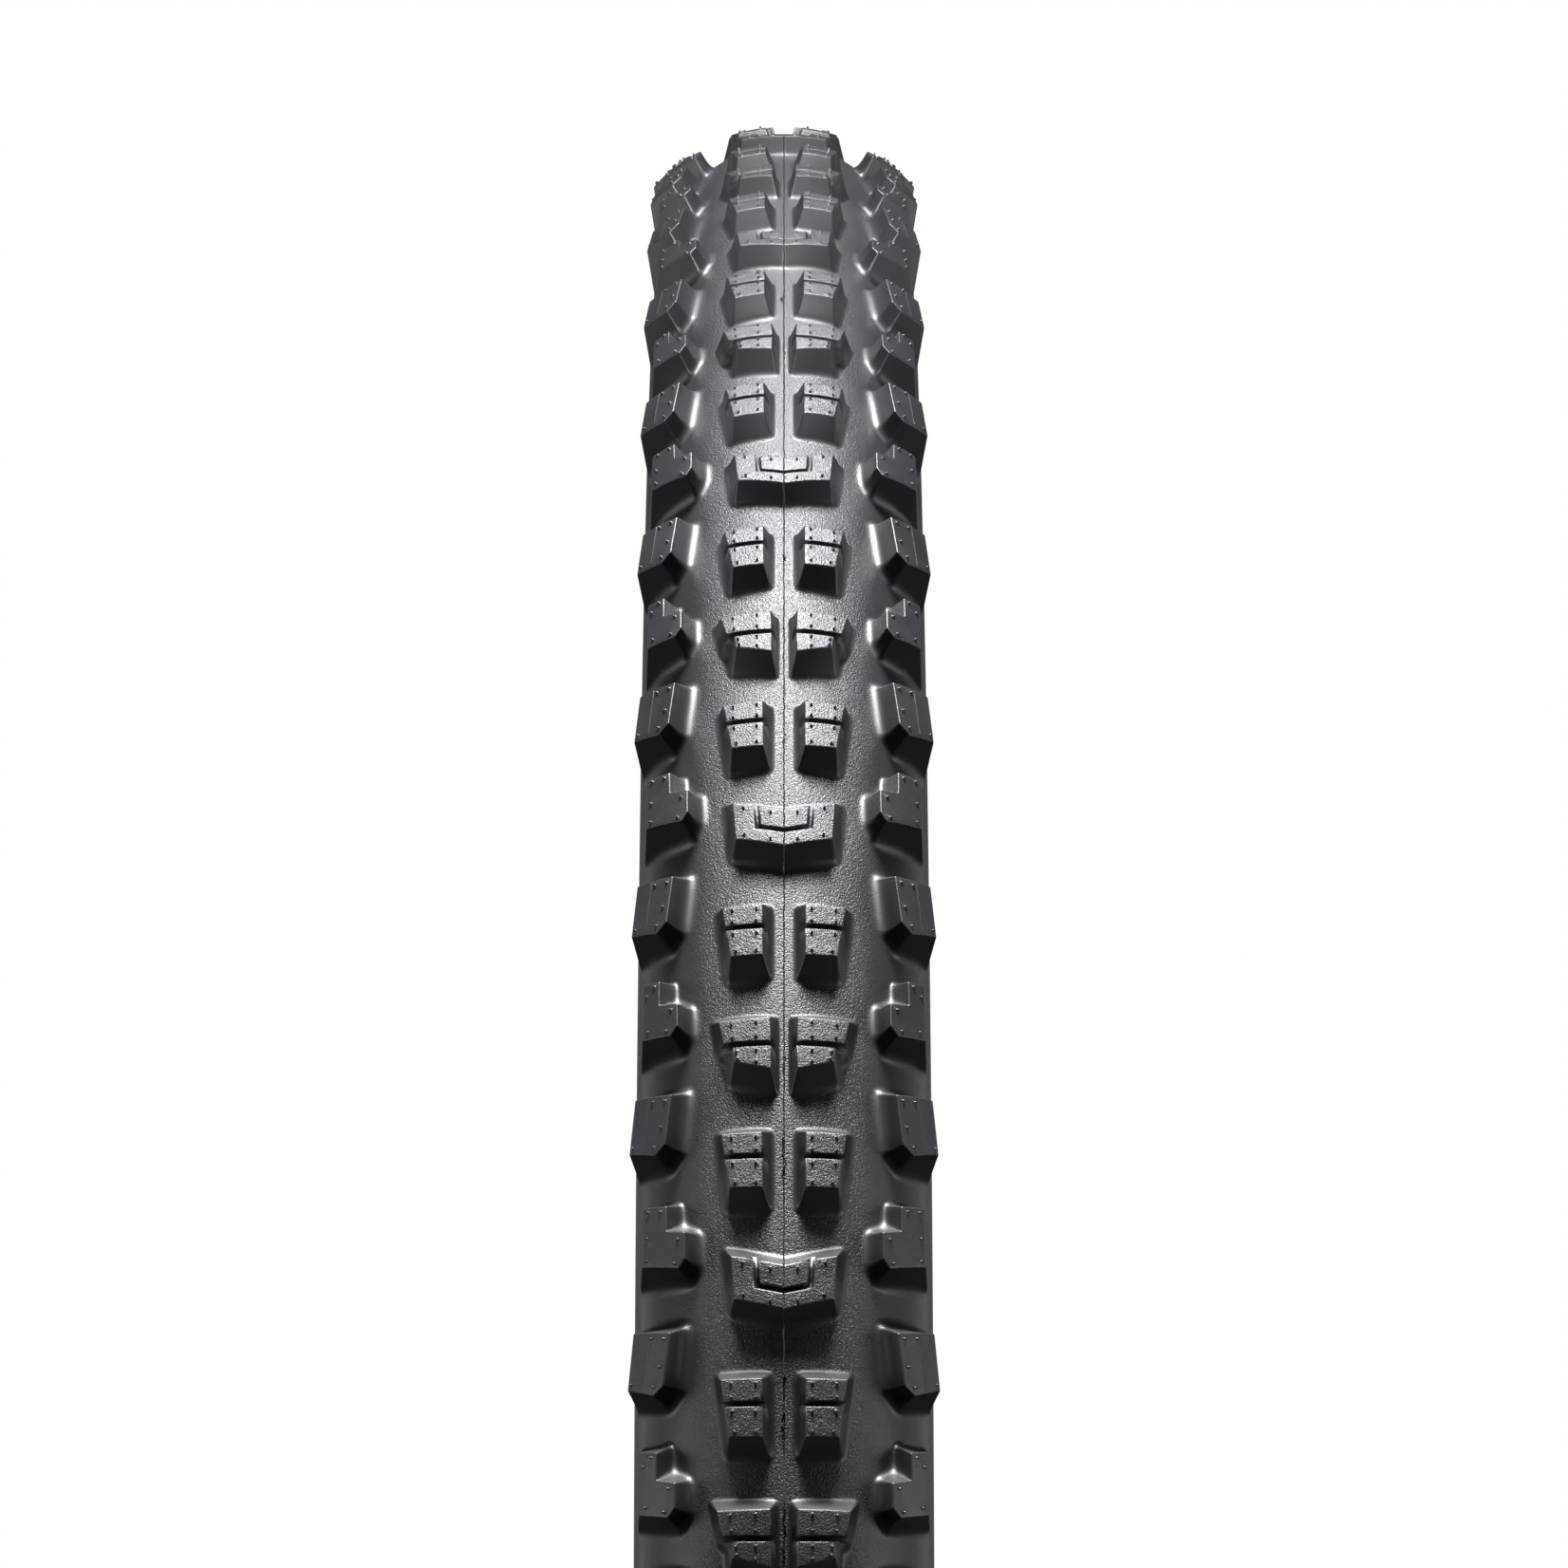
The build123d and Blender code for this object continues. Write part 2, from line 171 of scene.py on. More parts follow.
def inside(loop, points):
    x, y = points[:, 0], points[:, 1]
    hit = np.zeros(len(points), bool)
    for i in range(len(loop)):
        x0, y0 = loop[i]
        x1, y1 = loop[(i + 1) % len(loop)]
        if y0 == y1:
            continue
        crossing = x0 + (y - y0) * (x1 - x0) / (y1 - y0)
        hit ^= ((y0 > y) != (y1 > y)) & (x < crossing)
    return hit


def loop_distance(loop, points):
    best = np.full(len(points), 1e9)
    for i in range(len(loop)):
        start = np.array(loop[i])
        edge = np.array(loop[(i + 1) % len(loop)]) - start
        t = np.clip(((points - start) @ edge) / max(edge @ edge, 1e-12), 0, 1)
        best = np.minimum(best, np.hypot(*(points - start - t[:, None] * edge).T))
    return best


def rounded(corners, radii, segments, corner_points=4):
    """Rounds every corner; radius 0 keeps it sharp. Also returns for every sample
    its corner index and its place, 0 to 1, between the two edges there."""
    corners = [np.array(p, float) for p in corners]
    count = len(corners)

    def toward(i, j):
        """Point on the edge from corner i to neighbour j where the rounding ends."""
        return corners[i] + (corners[j] - corners[i]) / np.linalg.norm(
            corners[j] - corners[i]) * cuts[i]

    cuts = []
    for i in range(count):
        before = np.linalg.norm(corners[i - 1] - corners[i])
        after = np.linalg.norm(corners[(i + 1) % count] - corners[i])
        cuts.append(min(radii[i], 0.42 * before, 0.42 * after))
    points, tags = [], []
    for i in range(count):
        following = (i + 1) % count
        if radii[i] <= 0:
            points.append(corners[i])
            tags.append((i, 0.5))
            start = corners[i]
        else:
            arc_start, start = toward(i, i - 1), toward(i, following)
            for k in range(corner_points):
                t = k / (corner_points - 1)
                points.append(bezier(arc_start, corners[i], start, t))
                tags.append((i, t))
        end = corners[following] if radii[following] <= 0 else toward(following, i)
        for k in range(1, segments[i]):
            t = k / segments[i]
            points.append(start * (1 - t) + end * t)
            tags.append((i, 1.0))
    return np.array(points), tags


def loop_normals(loop):
    along = np.roll(loop, -1, 0) - np.roll(loop, 1, 0)
    normals = np.stack([along[:, 1], -along[:, 0]], -1)
    return normals / np.maximum(np.linalg.norm(normals, axis=1), 1e-9)[:, None]


def smooth_loop(loop, times):
    for _ in range(times):
        loop = 0.25 * np.roll(loop, 1, 0) + 0.5 * loop + 0.25 * np.roll(loop, -1, 0)
    return loop


def inset(loop, distance):
    """Offsets a CCW loop inward; edges that vanish collapse onto a corner."""
    count = len(loop)
    edges = np.roll(loop, -1, 0) - loop
    along = edges / np.maximum(np.linalg.norm(edges, axis=1), 1e-9)[:, None]
    moved = loop - np.stack([along[:, 1], -along[:, 0]], -1) * distance

    def meeting(i, j):
        """Where the moved edges i and j cross."""
        cross = along[i][0] * along[j][1] - along[i][1] * along[j][0]
        if abs(cross) < 0.02:
            return moved[j]
        gap = moved[j] - moved[i]
        t = (gap[0] * along[j][1] - gap[1] * along[j][0]) / cross
        return moved[i] + along[i] * t

    alive = list(range(count))
    for _ in range(count):
        left = len(alive)
        corners = [meeting(alive[i - 1], alive[i]) for i in range(left)]
        worst, worst_at = -1e-6, -1
        for i in range(left):
            length = float((corners[(i + 1) % left] - corners[i]) @ along[alive[i]])
            if length < worst:
                worst, worst_at = length, i
        if worst_at < 0 or left < 4:
            break
        alive.pop(worst_at)
    # each sample goes to the corner of the next edge still alive
    owner = [next((j for j, edge in enumerate(alive) if edge >= k), 0) for k in range(count)]
    return np.array([corners[i] for i in owner])


def tidy(flat, solid):
    """Drops repeated points from a loop given flat and in 3-D."""
    kept_flat, kept_solid = [], []
    for p, q in zip(flat, solid):
        if kept_flat and math.dist(kept_flat[-1], p) < 1e-6:
            continue
        kept_flat.append(tuple(p))
        kept_solid.append(tuple(q))
    if math.dist(kept_flat[0], kept_flat[-1]) < 1e-6:
        kept_flat.pop()
        kept_solid.pop()
    return kept_flat, kept_solid


# ------------------------------------------------------------------ triangle soup
class Soup:
    """Loose triangles, with a grain value at each of their corners."""

    def __init__(self):
        self.triangles = []
        self.grain = []

    def add(self, a, b, c, grain=(0, 0, 0)):
        self.triangles.append((a, b, c))
        self.grain.append(grain)

    def band(self, lower, upper, low=0.0, up=0.0):
        """Band between two CCW rings, lower outside, with a grain for each."""
        for j in range(len(lower)):
            k = (j + 1) % len(lower)
            self.add(lower[j], lower[k], upper[k], (low, low, up))
            self.add(lower[j], upper[k], upper[j], (low, up, up))


def grid_points(outer, holes, spacing):
    """Staggered points inside outer, clear of it and of the holes."""
    low, high = np.array(outer).min(0), np.array(outer).max(0)
    points = []
    row = 0
    y = low[1] + 0.5 * spacing
    while y < high[1]:
        first = low[0] + (0.5 if row % 2 else 1.0) * spacing * 0.6
        points += [(x, y) for x in np.arange(first, high[0], spacing)]
        y += spacing * 0.866
        row += 1
    grid = np.array(points).reshape(-1, 2)
    clear = GRID_CLEAR * spacing
    keep = inside(outer, grid) & (loop_distance(outer, grid) > clear)
    for hole in holes:
        keep &= ~inside(hole, grid) & (loop_distance(hole, grid) > clear)
    return grid[keep]


def triangle_sides(triangle):
    return [frozenset((triangle[q], triangle[q - 1])) for q in range(3)]


def drop_slivers(triangles, points, boundary):
    """Drops thin triangles that lie outside a straight run of the outline."""
    while True:
        uses = Counter(side for t in triangles for side in triangle_sides(t))
        good = []
        for t in triangles:
            p = points[list(t)]
            longest = max(np.hypot(*(p[q] - p[q - 1])) for q in range(3))
            stray = any(uses[side] == 1 and side not in boundary for side in triangle_sides(t))
            if not (stray and abs(double_area(*p)) < 2e-3 * longest):
                good.append(t)
        if len(good) == len(triangles):
            return triangles
        triangles = good


def fill(soup, loops, surface, spacing, grain, edge_grain):
    """Triangulates a flat region; loops are (flat, 3-D) pairs, the outline first
    and then the holes. Loops keep their own 3-D points, the rest use surface."""
    outer, holes = loops[0][0], [flat for flat, _ in loops[1:]]
    flat, solid, edges = [], [], []
    for loop_flat, loop_solid in loops:
        start, count = len(flat), len(loop_flat)
        flat += [tuple(p) for p in loop_flat]
        solid += [tuple(p) for p in loop_solid]
        edges += [(start + i, start + (i + 1) % count) for i in range(count)]
    grid = grid_points(outer, holes, spacing)
    grains = [edge_grain] * len(flat) + [grain] * len(grid)
    flat += [tuple(p) for p in grid]
    solid += [tuple(p) for p in surface(grid)]

    vertices, _, faces, origins, *_ = delaunay_2d_cdt(
        [Vector(p) for p in flat], edges, [], 0, 1e-6)
    points = np.array([tuple(p) for p in vertices])
    corners = []
    for k, origin in enumerate(origins):
        if origin:
            corners.append((solid[origin[0]], grains[origin[0]]))
        else:
            # a point made where two loops cross
            corners.append((tuple(surface(points[k:k + 1])[0]), grain))
    faces = np.array(faces)
    centres = points[faces].mean(1)
    keep = inside(outer, centres)
    for hole in holes:
        keep &= ~inside(hole, centres)
    triangles = [tuple(t) for t, ok in zip(faces.tolist(), keep) if ok]
    now_at = {origin[0]: k for k, origin in enumerate(origins) if origin}
    boundary = {frozenset((now_at.get(i, -1), now_at.get(j, -1))) for i, j in edges}
    for i, j, k in drop_slivers(triangles, points, boundary):
        area = double_area(points[i], points[j], points[k])
        if area < 0:
            j, k = k, j
        if abs(area) < 1e-9:
            continue
        (a, grain_a), (b, grain_b), (c, grain_c) = corners[i], corners[j], corners[k]
        soup.add(a, b, c, (grain_a, grain_b, grain_c))


# ------------------------------------------------------------------ knob table
# Corner: (y, s) of the top and of the foot; the fillet's (spread, rise) at the foot
# of the edge that follows; the rounding of top and foot. No top rounding means sharp.
Corner = namedtuple("Corner", "top foot fillet top_round foot_round", defaults=(0.22, 0.8))
# Tower: the outline runs between corners first and last, by way of corner via. The
# paths are (y, s) points of the cut from last back to first, at the top and the floor.
Tower = namedtuple("Tower", "first last via top_path floor_path drop", defaults=((), (), 0.0))
# Knob: depth is the level of the floor between towers; ridge is the raised line's ends.
Knob = namedtuple("Knob", "corners nubs towers depth ridge fillet_steps smooth",
                  defaults=((), 0.0, None, 4, 2))

SIPE = 0.48   # half width of the straight cut
# corners run from inner at high s, by outer at high s and outer at low s, to inner
KNOB_A = Knob(
    corners=[
        Corner((4.1, 5.0), (2.3, 7.0), (1.1, 1.4)),
        Corner((11.95, 5.1), (12.9, 7.5), (1.3, 1.4)),
        Corner((11.25, 0.35 + SIPE), (12.1, 0.9), (1.3, 1.4), 0),
        Corner((11.12, 0.35 - SIPE), (11.95, -0.1), (1.3, 1.4), 0),
        Corner((10.25, -6.0), (10.9, -9.5), (1.3, 1.4)),
        Corner((4.05, -6.2), (2.3, -9.6), (1.1, 1.3)),
        Corner((4.07, 0.15 - SIPE), (2.3, -0.9), (1.1, 1.3), 0),
        Corner((4.08, 0.15 + SIPE), (2.3, 0.1), (1.1, 1.3), 0)],
    nubs=[(5.3, 4.1), (9.9, 4.2), (5.3, 1.45), (9.9, 1.6),
          (5.3, -1.25), (9.7, -1.1), (5.3, -5.1), (9.2, -5.0)],
    towers=[Tower(7, 2, via=0), Tower(3, 6, via=4)],
    depth=2.1)
KNOB_B = Knob(
    corners=[
        Corner((2.6, 4.55), (1.15, 6.7), (0.9, 1.3)),
        Corner((12.5, 4.4), (14.1, 7.4), (0.7, 1.3)),
        Corner((11.45, -0.25), (12.6, -0.9), (0.7, 1.2), 0),
        Corner((11.3, -1.15), (12.35, -2.0), (0.7, 1.0), 0),
        Corner((9.75, -1.35), (10.9, -3.1), (0.9, 1.0), 0),
        Corner((9.5, -4.4), (10.6, -7.7), (1.3, 1.4)),
        Corner((2.5, -6.3), (1.15, -10.2), (0.6, 1.0)),
        Corner((2.4, -1.45), (1.15, -2.6), (0.6, 1.0), 0),
        Corner((2.42, -0.5), (1.15, -1.4), (0.6, 1.0), 0)],
    nubs=[(5.3, 3.6), (10.0, 3.5), (5.3, 0.6), (9.8, 0.65),
          (5.3, -2.3), (9.0, -2.35), (5.3, -4.7), (8.8, -3.9)],
    towers=[Tower(8, 2, via=0), Tower(4, 7, via=5)],
    depth=2.1)
# wide bar across the centreline
KNOB_C = Knob(
    corners=[
        Corner((0.0, 2.6), (0.0, 5.1), (1.0, 1.2), 0.3),
        Corner((4.85, 3.646), (5.4, 6.4), (1.0, 1.2), 0),
        Corner((5.75, 3.84), (6.4, 6.7), (1.0, 1.2), 0),
        Corner((10.0, 4.75), (11.6, 8.2), (1.2, 1.5)),
        Corner((9.35, -3.8), (10.3, -6.0), (1.3, 1.4)),
        Corner((0.0, -6.05), (0.0, -8.85), (1.3, 1.4), 0.3),
        Corner((-9.35, -3.8), (-10.3, -6.0), (1.2, 1.5)),
        Corner((-10.0, 4.75), (-11.6, 8.2), (1.0, 1.2)),
        Corner((-5.75, 3.84), (-6.4, 6.7), (1.0, 1.2), 0),
        Corner((-4.85, 3.646), (-5.4, 6.4), (1.0, 1.2), 0)],
    nubs=[(7.8, 3.3), (-7.8, 3.3), (7.6, -3.0), (-7.6, -3.0),
          (2.6, 2.1), (-2.6, 2.1), (2.6, -4.35), (-2.6, -4.35)],
    towers=[
        Tower(2, 8, via=5,
              top_path=[(-5.6, -1.75), (0.0, -2.95), (5.6, -1.75)],
              floor_path=[(-5.4, -1.55), (0.0, -2.7), (5.4, -1.55)]),
        Tower(9, 1, via=0, drop=0.38,
              top_path=[(4.6, -0.75), (0.0, -1.8), (-4.6, -0.75)],
              floor_path=[(4.75, -0.95), (0.0, -2.0), (-4.75, -0.95)])],
    depth=1.9)
SHOULDER_A = Knob(
    corners=[
        Corner((21.4, 15.4), (17.9, 18.2), (2.0, 2.4), 0.25, 1.2),
        Corner((28.35, 16.9), (27.1, 19.6), (1.2, 1.2), 0.25, 1.0),
        Corner((29.42, 5.7), (27.6, 4.0), (2.2, 2.6), 0.25, 0.9),
        Corner((24.55, 3.5), (21.2, 1.9), (1.6, 2.0), 0.2, 0.9),
        Corner((22.6, 5.3), (19.2, 4.6), (3.1, 3.3), 0.2, 0.9)],
    nubs=[(22.6, 14.4), (24.9, 14.9), (28.0, 15.4), (23.3, 9.0),
          (28.7, 9.6), (24.5, 5.2), (27.2, 5.2), (28.6, 6.6)],
    ridge=((25.55, 15.9), (26.6, 5.2)),
    fillet_steps=5)
SHOULDER_C = Knob(
    corners=[
        Corner((22.2, 16.7), (19.4, 19.2), (1.6, 2.0), 0.25, 1.0),
        Corner((26.7, 17.5), (27.0, 20.0), (1.0, 1.2), 0.3, 1.0),
        Corner((26.8, 5.5), (27.3, 4.4), (2.2, 2.6), 0.3, 1.0),
        Corner((19.85, 3.6), (17.0, 1.7), (1.6, 2.0), 0.2, 0.9),
        Corner((18.65, 5.4), (15.9, 4.6), (2.4, 3.0), 0.2, 0.9),
        Corner((18.65, 10.7), (15.9, 12.2), (1.3, 1.8), 0.25, 1.0),
        Corner((22.15, 11.6), (19.0, 14.0), (1.6, 2.4), 0.25, 1.8)],
    nubs=[(23.3, 15.8), (25.6, 16.3), (25.8, 11.0), (20.0, 9.4), (20.6, 4.7), (25.8, 6.4)],
    fillet_steps=5, smooth=3)
SHOULDER_B = Knob(
    corners=[
        Corner((23.8, 16.6), (20.9, 19.4), (1.6, 2.0), 0.25, 1.0),
        Corner((27.0, 17.3), (27.1, 19.9), (1.0, 1.2), 0.3, 1.0),
        Corner((27.1, 4.9), (27.5, 3.9), (2.2, 2.6), 0.3, 1.0),
        Corner((21.7, 3.8), (18.7, 1.8), (1.6, 2.0), 0.2, 0.9),
        Corner((20.3, 5.6), (17.5, 4.6), (2.7, 3.1), 0.2, 0.9),
        Corner((20.3, 10.4), (17.5, 12.0), (1.3, 1.8), 0.25, 1.0),
        Corner((23.85, 11.3), (20.6, 14.0), (1.6, 2.4), 0.25, 1.8)],
    nubs=[(24.8, 15.8), (26.2, 14.2), (21.6, 9.4), (22.4, 5.0), (25.9, 6.2)],
    fillet_steps=5, smooth=3)


# ------------------------------------------------------------------ knobs
def nub(soup, centre, drop):
    """Raised six-sided stud; returns its foot loop, flat and in 3-D."""
    angles = np.radians(60 * np.arange(6) + NUB_TURN_DEG)
    ring = np.stack([np.cos(angles), np.sin(angles)], -1)
    foot_flat = centre + NUB_FOOT_R * ring
    foot = top_points(foot_flat, drop)
    neck = top_points(centre + NUB_NECK_R * ring, drop - NUB_NECK_H)
    tip = top_points(centre[None], drop - NUB_H)[0]
    soup.band(foot, neck)
    for q in range(6):
        soup.add(neck[q], neck[(q + 1) % 6], tip)
    return foot_flat, foot


def ridge(soup, start, end, drop):
    """Narrow raised line; returns its foot loop, flat and in 3-D."""
    along = (end - start) / np.linalg.norm(end - start)
    across = np.array([along[1], -along[0]])
    stations = np.linspace(0, 1, RIDGE_STATIONS)
    loops = []
    for half in (RIDGE_FOOT, RIDGE_CREST):
        one_side = [start + (end - start) * t + across * half for t in stations]
        other_side = [start + (end - start) * t - across * half for t in stations[::-1]]
        loops.append(np.array(one_side + other_side))
    if signed_area(loops[0]) < 0:
        loops = [loop[::-1] for loop in loops]
    foot = top_points(loops[0], drop)
    crest = top_points(loops[1], drop - RIDGE_H)
    soup.band(foot, crest)
    last = 2 * RIDGE_STATIONS - 1
    for q in range(RIDGE_STATIONS - 1):
        soup.add(crest[q], crest[q + 1], crest[last - 1 - q])
        soup.add(crest[q], crest[last - 1 - q], crest[last - q])
    return loops[0], foot


def cap(soup, outline, top, bevel_foot, low, shape, place, drop=0.0):
    """Wall band, rounded edge and top face of one knob or tower."""
    inner_flat = inset(outline, BEVEL)
    inner = top_points(inner_flat, drop)
    middle = 0.25 * inner + 0.5 * top + 0.25 * bevel_foot
    soup.band(low, bevel_foot)
    soup.band(bevel_foot, middle, 0.0, 0.3)
    soup.band(middle, inner, 0.3, 0.8)
    loops = [tidy(inner_flat, inner)]
    edge = loops[0][0]
    for point in shape.nubs:
        centre = np.array(place(point))
        if (inside(edge, centre[None])[0]
                and loop_distance(edge, centre[None])[0] >= NUB_MARGIN):
            loops.append(nub(soup, centre, drop))
    if shape.ridge:
        start, end = (np.array(place(point)) for point in shape.ridge)
        loops.append(ridge(soup, start, end, drop))
    fill(soup, loops, lambda flat: top_points(flat, drop), TOP_GRID,
         grain=1.0, edge_grain=0.8)


def sample_cut(upper, lower):
    """Samples two matching paths in step, without their shared end corners."""
    paths = np.hstack([upper, lower])
    samples = []
    for here, there in zip(paths[:-1], paths[1:]):
        steps = max(1, int(round(math.dist(here[:2], there[:2]) / CUT_SPACING)))
        samples += [here * (1 - k / steps) + there * (k / steps) for k in range(steps)]
    samples = np.array(samples[1:])
    return samples[:, :2], samples[:, 2:]


def towers(soup, shape, place, outline, ledge, first_sample):
    """Towers that stand on the ledge, and the floor between them."""
    count = len(outline)

    def walk(start, end):
        run = [start]
        while run[-1] != end:
            run.append((run[-1] + 1) % count)
        return run

    cuts = {}
    for tower in shape.towers:
        top_path = [place(p) for p in tower.top_path]
        floor_path = [place(p) for p in tower.floor_path]
        first, last = first_sample[tower.first], first_sample[tower.last]
        run = walk(first, last)
        if first_sample[tower.via] not in run[1:-1]:
            run = walk(last, first)
            top_path.reverse()
            floor_path.reverse()
        start, end = run[0], run[-1]
        cut_top, cut_floor = sample_cut(
            [outline[end], *top_path, outline[start]],
            [flat_on_top(ledge[end]), *floor_path, flat_on_top(ledge[start])])
        cut_floor = top_points(cut_floor, shape.depth)
        cuts[start] = end, cut_floor
        loop = np.concatenate([outline[run], cut_top])
        low = np.concatenate([ledge[run], cut_floor])
        top = top_points(loop, tower.drop)
        wall = low - top
        height = np.linalg.norm(wall, axis=1)
        bevel = np.minimum(BEVEL, 0.45 * height)
        bevel_foot = top + wall / height[:, None] * bevel[:, None]
        cap(soup, loop, top, bevel_foot, low, shape, place, tower.drop)

    # walk round the ledge; at a tower's first sample go back along its cut
    rim = []
    k = start = next(iter(cuts))
    while True:
        rim.append(ledge[k])
        if k in cuts:
            k, cut = cuts[k]
            rim += [*cut[::-1], ledge[k]]
        k = (k + 1) % count
        if k == start:
            break
    fill(soup, [tidy([flat_on_top(p) for p in rim], rim)],
         lambda flat: top_points(flat, shape.depth), FLOOR_GRID, grain=0.9, edge_grain=0.3)


def knob(soup, feet, shape, s0, side=1):
    """One knob with its foot fillet; side -1 mirrors it. Adds its foot loop to feet."""
    def place(point):
        return side * point[0], point[1] + s0

    order = list(range(len(shape.corners)))
    fillets = [corner.fillet for corner in shape.corners]
    if signed_area([place(corner.top) for corner in shape.corners]) < 0:
        order.reverse()
        # a fillet belongs to the edge after its corner, so it moves by one
        fillets = [fillets[i - 1] for i in order]
    corners = [shape.corners[i] for i in order]
    tops = [place(corner.top) for corner in corners]
    foot_corners = [(float(lateral(y)), s) for y, s in (place(c.foot) for c in corners)]
    segments = [max(1, int(round(math.dist(tops[i], tops[(i + 1) % len(tops)]) / EDGE_SPACING)))
                for i in range(len(tops))]
    outline, tags = rounded(tops, [c.top_round for c in corners], segments)
    foot_rounds = [c.foot_round if c.top_round > 0 else 0.0 for c in corners]
    foot_flat, _ = rounded(foot_corners, foot_rounds, segments)
    spread, rise = np.array([
        np.array(fillets[i - 1]) * (1 - t) + np.array(fillets[i]) * t for i, t in tags]).T

    top = top_points(outline)
    foot = skin_points(foot_flat)
    skirt_flat = smooth_loop(foot_flat + loop_normals(foot_flat) * spread[:, None], shape.smooth)
    skirt = skin_points(skirt_flat)
    wall = foot - top
    height = np.linalg.norm(wall, axis=1)
    down = wall / height[:, None]
    wall_foot = foot - down * np.minimum(rise, 0.6 * height)[:, None]
    rows = [skirt]
    for q in range(1, shape.fillet_steps + 1):
        rows.append(bezier(wall_foot, foot, skirt, 1 - q / shape.fillet_steps))
    for q in range(shape.fillet_steps):
        soup.band(rows[q], rows[q + 1], max(0.0, 1 - q * 0.5), 0.0)
    if shape.towers:
        ledge = top + down * shape.depth
        soup.band(rows[-1], ledge)
        first_sample = {}
        for k, (i, _) in enumerate(tags):
            first_sample.setdefault(order[i], k)
        towers(soup, shape, place, outline, ledge, first_sample)
    else:
        cap(soup, outline, top, top + down * BEVEL, rows[-1], shape, place)
    feet.append((skirt_flat, skirt))


# ------------------------------------------------------------------ one period
def flat_row(first, s):
    return np.stack(np.broadcast_arrays(first, s), -1)


def strip(soup, feet, s, left, right, across, under_count):
    """Skin around the knob feet, side edges and underside of one period. s runs
    downward, left and right are the edges, across the samples of the end cuts."""
    left_edge, right_edge = flat_row(left, s), flat_row(right, s)
    outline = np.concatenate([
        right_edge[::-1], flat_row(across[-2:0:-1], s[0]),
        left_edge, flat_row(across[1:-1], s[-1])])
    fill(soup, [(outline, skin_points(outline))] + feet, skin_points, SKIN_GRID,
         grain=1.0, edge_grain=1.0)

    skin_left, skin_right = skin_points(left_edge), skin_points(right_edge)
    under = [under_points(flat_row(np.linspace(left[i], right[i], under_count + 1), s[i]))
             for i in range(len(s))]
    for i in range(len(s) - 1):
        here, there = under[i], under[i + 1]
        for k in range(under_count):
            soup.add(here[k], here[k + 1], there[k + 1])
            soup.add(here[k], there[k + 1], there[k])
        soup.add(skin_right[i], there[-1], skin_right[i + 1])
        soup.add(skin_right[i], here[-1], there[-1])
        soup.add(skin_left[i], skin_left[i + 1], there[0])
        soup.add(skin_left[i], there[0], here[0])


def center_period():
    soup, feet = Soup(), []
    knob(soup, feet, KNOB_C, PITCH)
    for row in (0, 2):
        for side in (1, -1):
            knob(soup, feet, KNOB_A, -row * PITCH, side)
    for side in (1, -1):
        knob(soup, feet, KNOB_B, -PITCH, side)
    s = CENTER_CUT - STEP * np.arange(STEPS + 1)
    edge = split_lateral(s)
    strip(soup, feet, s, -edge, edge, np.linspace(-1, 1, 15) * edge[0], under_count=10)
    return soup


def shoulder_period(side):
    soup, feet = Soup(), []
    for row in (0, 2):
        knob(soup, feet, SHOULDER_A, -row * PITCH, side)
    knob(soup, feet, SHOULDER_B, -PITCH, side)
    knob(soup, feet, SHOULDER_C, PITCH, side)
    s = SHOULDER_CUT - STEP * np.arange(STEPS + 1)
    inner = split_lateral(s)
    outer = np.full(STEPS + 1, SKIN_END)
    across = np.linspace(inner[0], outer[0], 13)
    if side > 0:
        strip(soup, feet, s, inner, outer, across, under_count=6)
    else:
        strip(soup, feet, s, -outer, -inner, -across[::-1], under_count=6)
    return soup


def parting_flash():
    """Torn slivers of rubber left standing on the mould's parting line."""
    rng = np.random.default_rng(7)
    points, faces = [], []
    for row in range(ROWS):
        # the bar row has none, and some other rows are bare
        if row % 4 == 3 or rng.random() > 0.72:
            continue
        wander = 1.6 if row % 2 == 0 else 0.75
        s = -row * PITCH - 8.0 + 6.0 * rng.random()
        end = min(s + 3.0 + 9.0 * rng.random(), -row * PITCH + 7.0)
        y = 0.0
        first = len(points)
        while s < end:
            y = float(np.clip(0.6 * y + rng.normal(0, 0.16), -0.5 * wander, 0.5 * wander))
            height = 0.08 + 0.5 * rng.random() ** 2
            lean = rng.normal(0, 0.35) * height
            half = 0.10 + 0.10 * rng.random()
            for offset, lift in ((-half, -0.2), (half, -0.2),
                                 (0.3 * half + lean, height), (-0.3 * half + lean, height)):
                at = y + offset
                points.append((SECTION_R + math.sqrt(SKIN_R ** 2 - at ** 2) + lift, at, s))
            s += 0.35 + 0.4 * rng.random()
        last = len(points) - 4
        for a in range(first, last, 4):
            b = a + 4
            for k in range(4):
                following = (k + 1) % 4
                faces.append((a + k, b + following, a + following))
                faces.append((a + k, b + k, b + following))
        faces += [(first, first + 1, first + 2), (first, first + 2, first + 3),
                  (last, last + 2, last + 1), (last, last + 3, last + 2)]
    return np.array(points), np.array(faces)


# ------------------------------------------------------------------ to Blender
def add_object(name, data):
    ob = bpy.data.objects.new(name, data)
    bpy.context.scene.collection.objects.link(ob)
    return ob


def to_metres(points):
    """Scene (x, y, z) in metres from (r, y, s)."""
    angle = START_ANGLE + points[:, 2] / TREAD_R
    return np.stack([points[:, 0] * np.cos(angle), points[:, 1],
                     points[:, 0] * np.sin(angle)], -1) / 1000.0


def fade_grain(points, grain):
    """The pebbled grain fades out toward the shoulders."""
    r, y = points[:, 0] - SECTION_R, points[:, 1]
    on_skin = np.hypot(r, y) < skin_radius(np.arctan2(y, r)) + 0.3
    t = np.clip((np.abs(y) - 14.5) / 5.0, 0, 1)
    return np.where(~on_skin & (np.abs(y) > 17), grain * 0.22, grain * (1 - t * 0.92))


